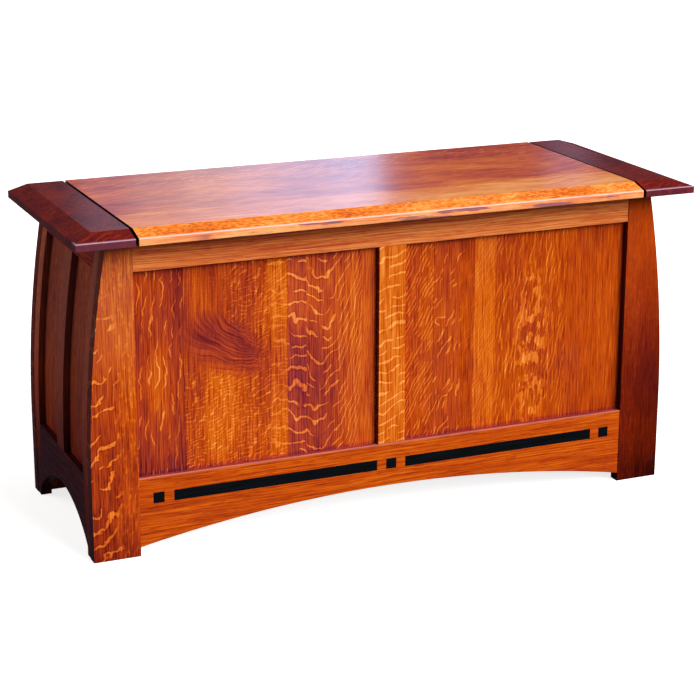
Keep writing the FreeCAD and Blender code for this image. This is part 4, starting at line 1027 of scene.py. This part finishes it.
def set_camera(context, stage):
    """The camera, from its place and its three angles."""
    data = bpy.data.cameras.new("camera")
    data.lens = stage.lens
    data.clip_end = CAMERA_REACH
    camera = bpy.data.objects.new("camera", data)
    aim = Euler((math.pi / 2 - stage.camera_drop, 0.0, -stage.camera_turn)).to_matrix().to_4x4()
    camera.matrix_world = (
        Matrix.Translation(stage.camera_place) @ aim @ Matrix.Rotation(stage.camera_roll, 4, "Z")
    )
    context.scene.collection.objects.link(camera)
    context.scene.camera = camera
    context.scene.view_settings.view_transform = "Standard"


# ------------ operators


class CHEST_OT_finish_lid(bpy.types.Operator):
    """Finish the lid's glued-up boards."""

    bl_idname = "chest.finish_lid"
    bl_label = "Lid"

    def execute(self, context):
        dress(lid_oak(), "lid")
        return {"FINISHED"}


class CHEST_OT_finish_caps(bpy.types.Operator):
    """Finish the dark end caps."""

    bl_idname = "chest.finish_caps"
    bl_label = "End Caps"

    def execute(self, context):
        for name, looks in CAPS.items():
            dress(cap_oak(name, *looks), name)
        return {"FINISHED"}


class CHEST_OT_finish_frame(bpy.types.Operator):
    """Finish the legs, rails and stiles of the front and the back."""

    bl_idname = "chest.finish_frame"
    bl_label = "Front and Back Frames"

    def execute(self, context):
        for shift, (name, looks) in enumerate(LEGS.items(), LEG_SHIFT):
            dress(leg_oak(name, shift, *looks), name)
        dress_boards(("front", "back"), FRAME_BOARDS, 1)
        return {"FINISHED"}


class CHEST_OT_finish_panels(bpy.types.Operator):
    """Finish the front and back panels strip by strip."""

    bl_idname = "chest.finish_panels"
    bl_label = "Front and Back Panels"

    def execute(self, context):
        for shift, (name, (material, half, kinds, looks)) in enumerate(PANELS.items(), PANEL_SHIFT):
            dress(panel_oak(material, shift, half, kinds, **looks), name)
        return {"FINISHED"}


class CHEST_OT_finish_ends(bpy.types.Operator):
    """Finish the curved end frames and their panels."""

    bl_idname = "chest.finish_ends"
    bl_label = "End Frames"

    def execute(self, context):
        dress_boards(("left", "right"), END_BOARDS, 10)
        return {"FINISHED"}


class CHEST_OT_finish_inlay(bpy.types.Operator):
    """Finish the inlaid squares and bars."""

    bl_idname = "chest.finish_inlay"
    bl_label = "Inlay"

    def execute(self, context):
        names = [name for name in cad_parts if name.startswith("inlay_")]
        dress(ebony("inlay_ebony"), *names)
        return {"FINISHED"}


class CHEST_OT_finish_inside(bpy.types.Operator):
    """Finish the floor board, cleats, ledgers and battens."""

    bl_idname = "chest.finish_inside"
    bl_label = "Inside"

    def execute(self, context):
        dress(cedar("floor_cedar"), "bottom_panel")
        for material, axes, shift, names in INNER_OAK:
            dress(raw_oak(material, axes, shift), *names)
        return {"FINISHED"}


class CHEST_OT_finish_metal(bpy.types.Operator):
    """Finish the hinges and the screws."""

    bl_idname = "chest.finish_metal"
    bl_label = "Hinges and Screws"

    def execute(self, context):
        look = context.scene.chest_finish
        hinges = [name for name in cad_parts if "hinge" in name]
        screws = [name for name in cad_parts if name.endswith("_screws") and "hinge" not in name]
        dress(metal("hinge_brass", look.brass, *BRASS), *hinges)
        dress(metal("screw_steel", look.steel, *STEEL), *screws)
        return {"FINISHED"}


class CHEST_OT_build_stage(bpy.types.Operator):
    """Lay the floor, hang the lights and set the camera."""

    bl_idname = "chest.build_stage"
    bl_label = "Stage"

    def execute(self, context):
        stage = context.scene.chest_stage
        lay_floor(context, stage)
        hang_lights(context, stage)
        set_camera(context, stage)
        return {"FINISHED"}


# ------------ panel and registration


OPERATORS = (
    CHEST_OT_finish_lid,
    CHEST_OT_finish_caps,
    CHEST_OT_finish_frame,
    CHEST_OT_finish_panels,
    CHEST_OT_finish_ends,
    CHEST_OT_finish_inlay,
    CHEST_OT_finish_inside,
    CHEST_OT_finish_metal,
    CHEST_OT_build_stage,
)


class CHEST_PT_panel(bpy.types.Panel):
    """Lists the chest's settings and operators."""

    bl_idname = "CHEST_PT_panel"
    bl_label = "Blanket Chest"
    bl_space_type = "VIEW_3D"
    bl_region_type = "UI"
    bl_category = "Chest"

    def draw(self, context):
        for settings in (context.scene.chest_finish, context.scene.chest_stage):
            for name in settings.__annotations__:
                self.layout.prop(settings, name)
        for operator in OPERATORS:
            self.layout.operator(operator.bl_idname)


CLASSES = (ChestFinishSettings, ChestStageSettings, *OPERATORS, CHEST_PT_panel)


def register():
    """Registers the classes and the scene's settings."""
    for cls in CLASSES:
        bpy.utils.register_class(cls)
    bpy.types.Scene.chest_finish = bpy.props.PointerProperty(type=ChestFinishSettings)
    bpy.types.Scene.chest_stage = bpy.props.PointerProperty(type=ChestStageSettings)


def unregister():
    """Takes the settings and classes away again."""
    del bpy.types.Scene.chest_stage
    del bpy.types.Scene.chest_finish
    for cls in reversed(CLASSES):
        bpy.utils.unregister_class(cls)


def main():
    """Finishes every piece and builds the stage."""
    register()
    for operator in OPERATORS:
        group_name, word = operator.bl_idname.split(".")
        getattr(getattr(bpy.ops, group_name), word)()


if __name__ == "__main__":
    main()
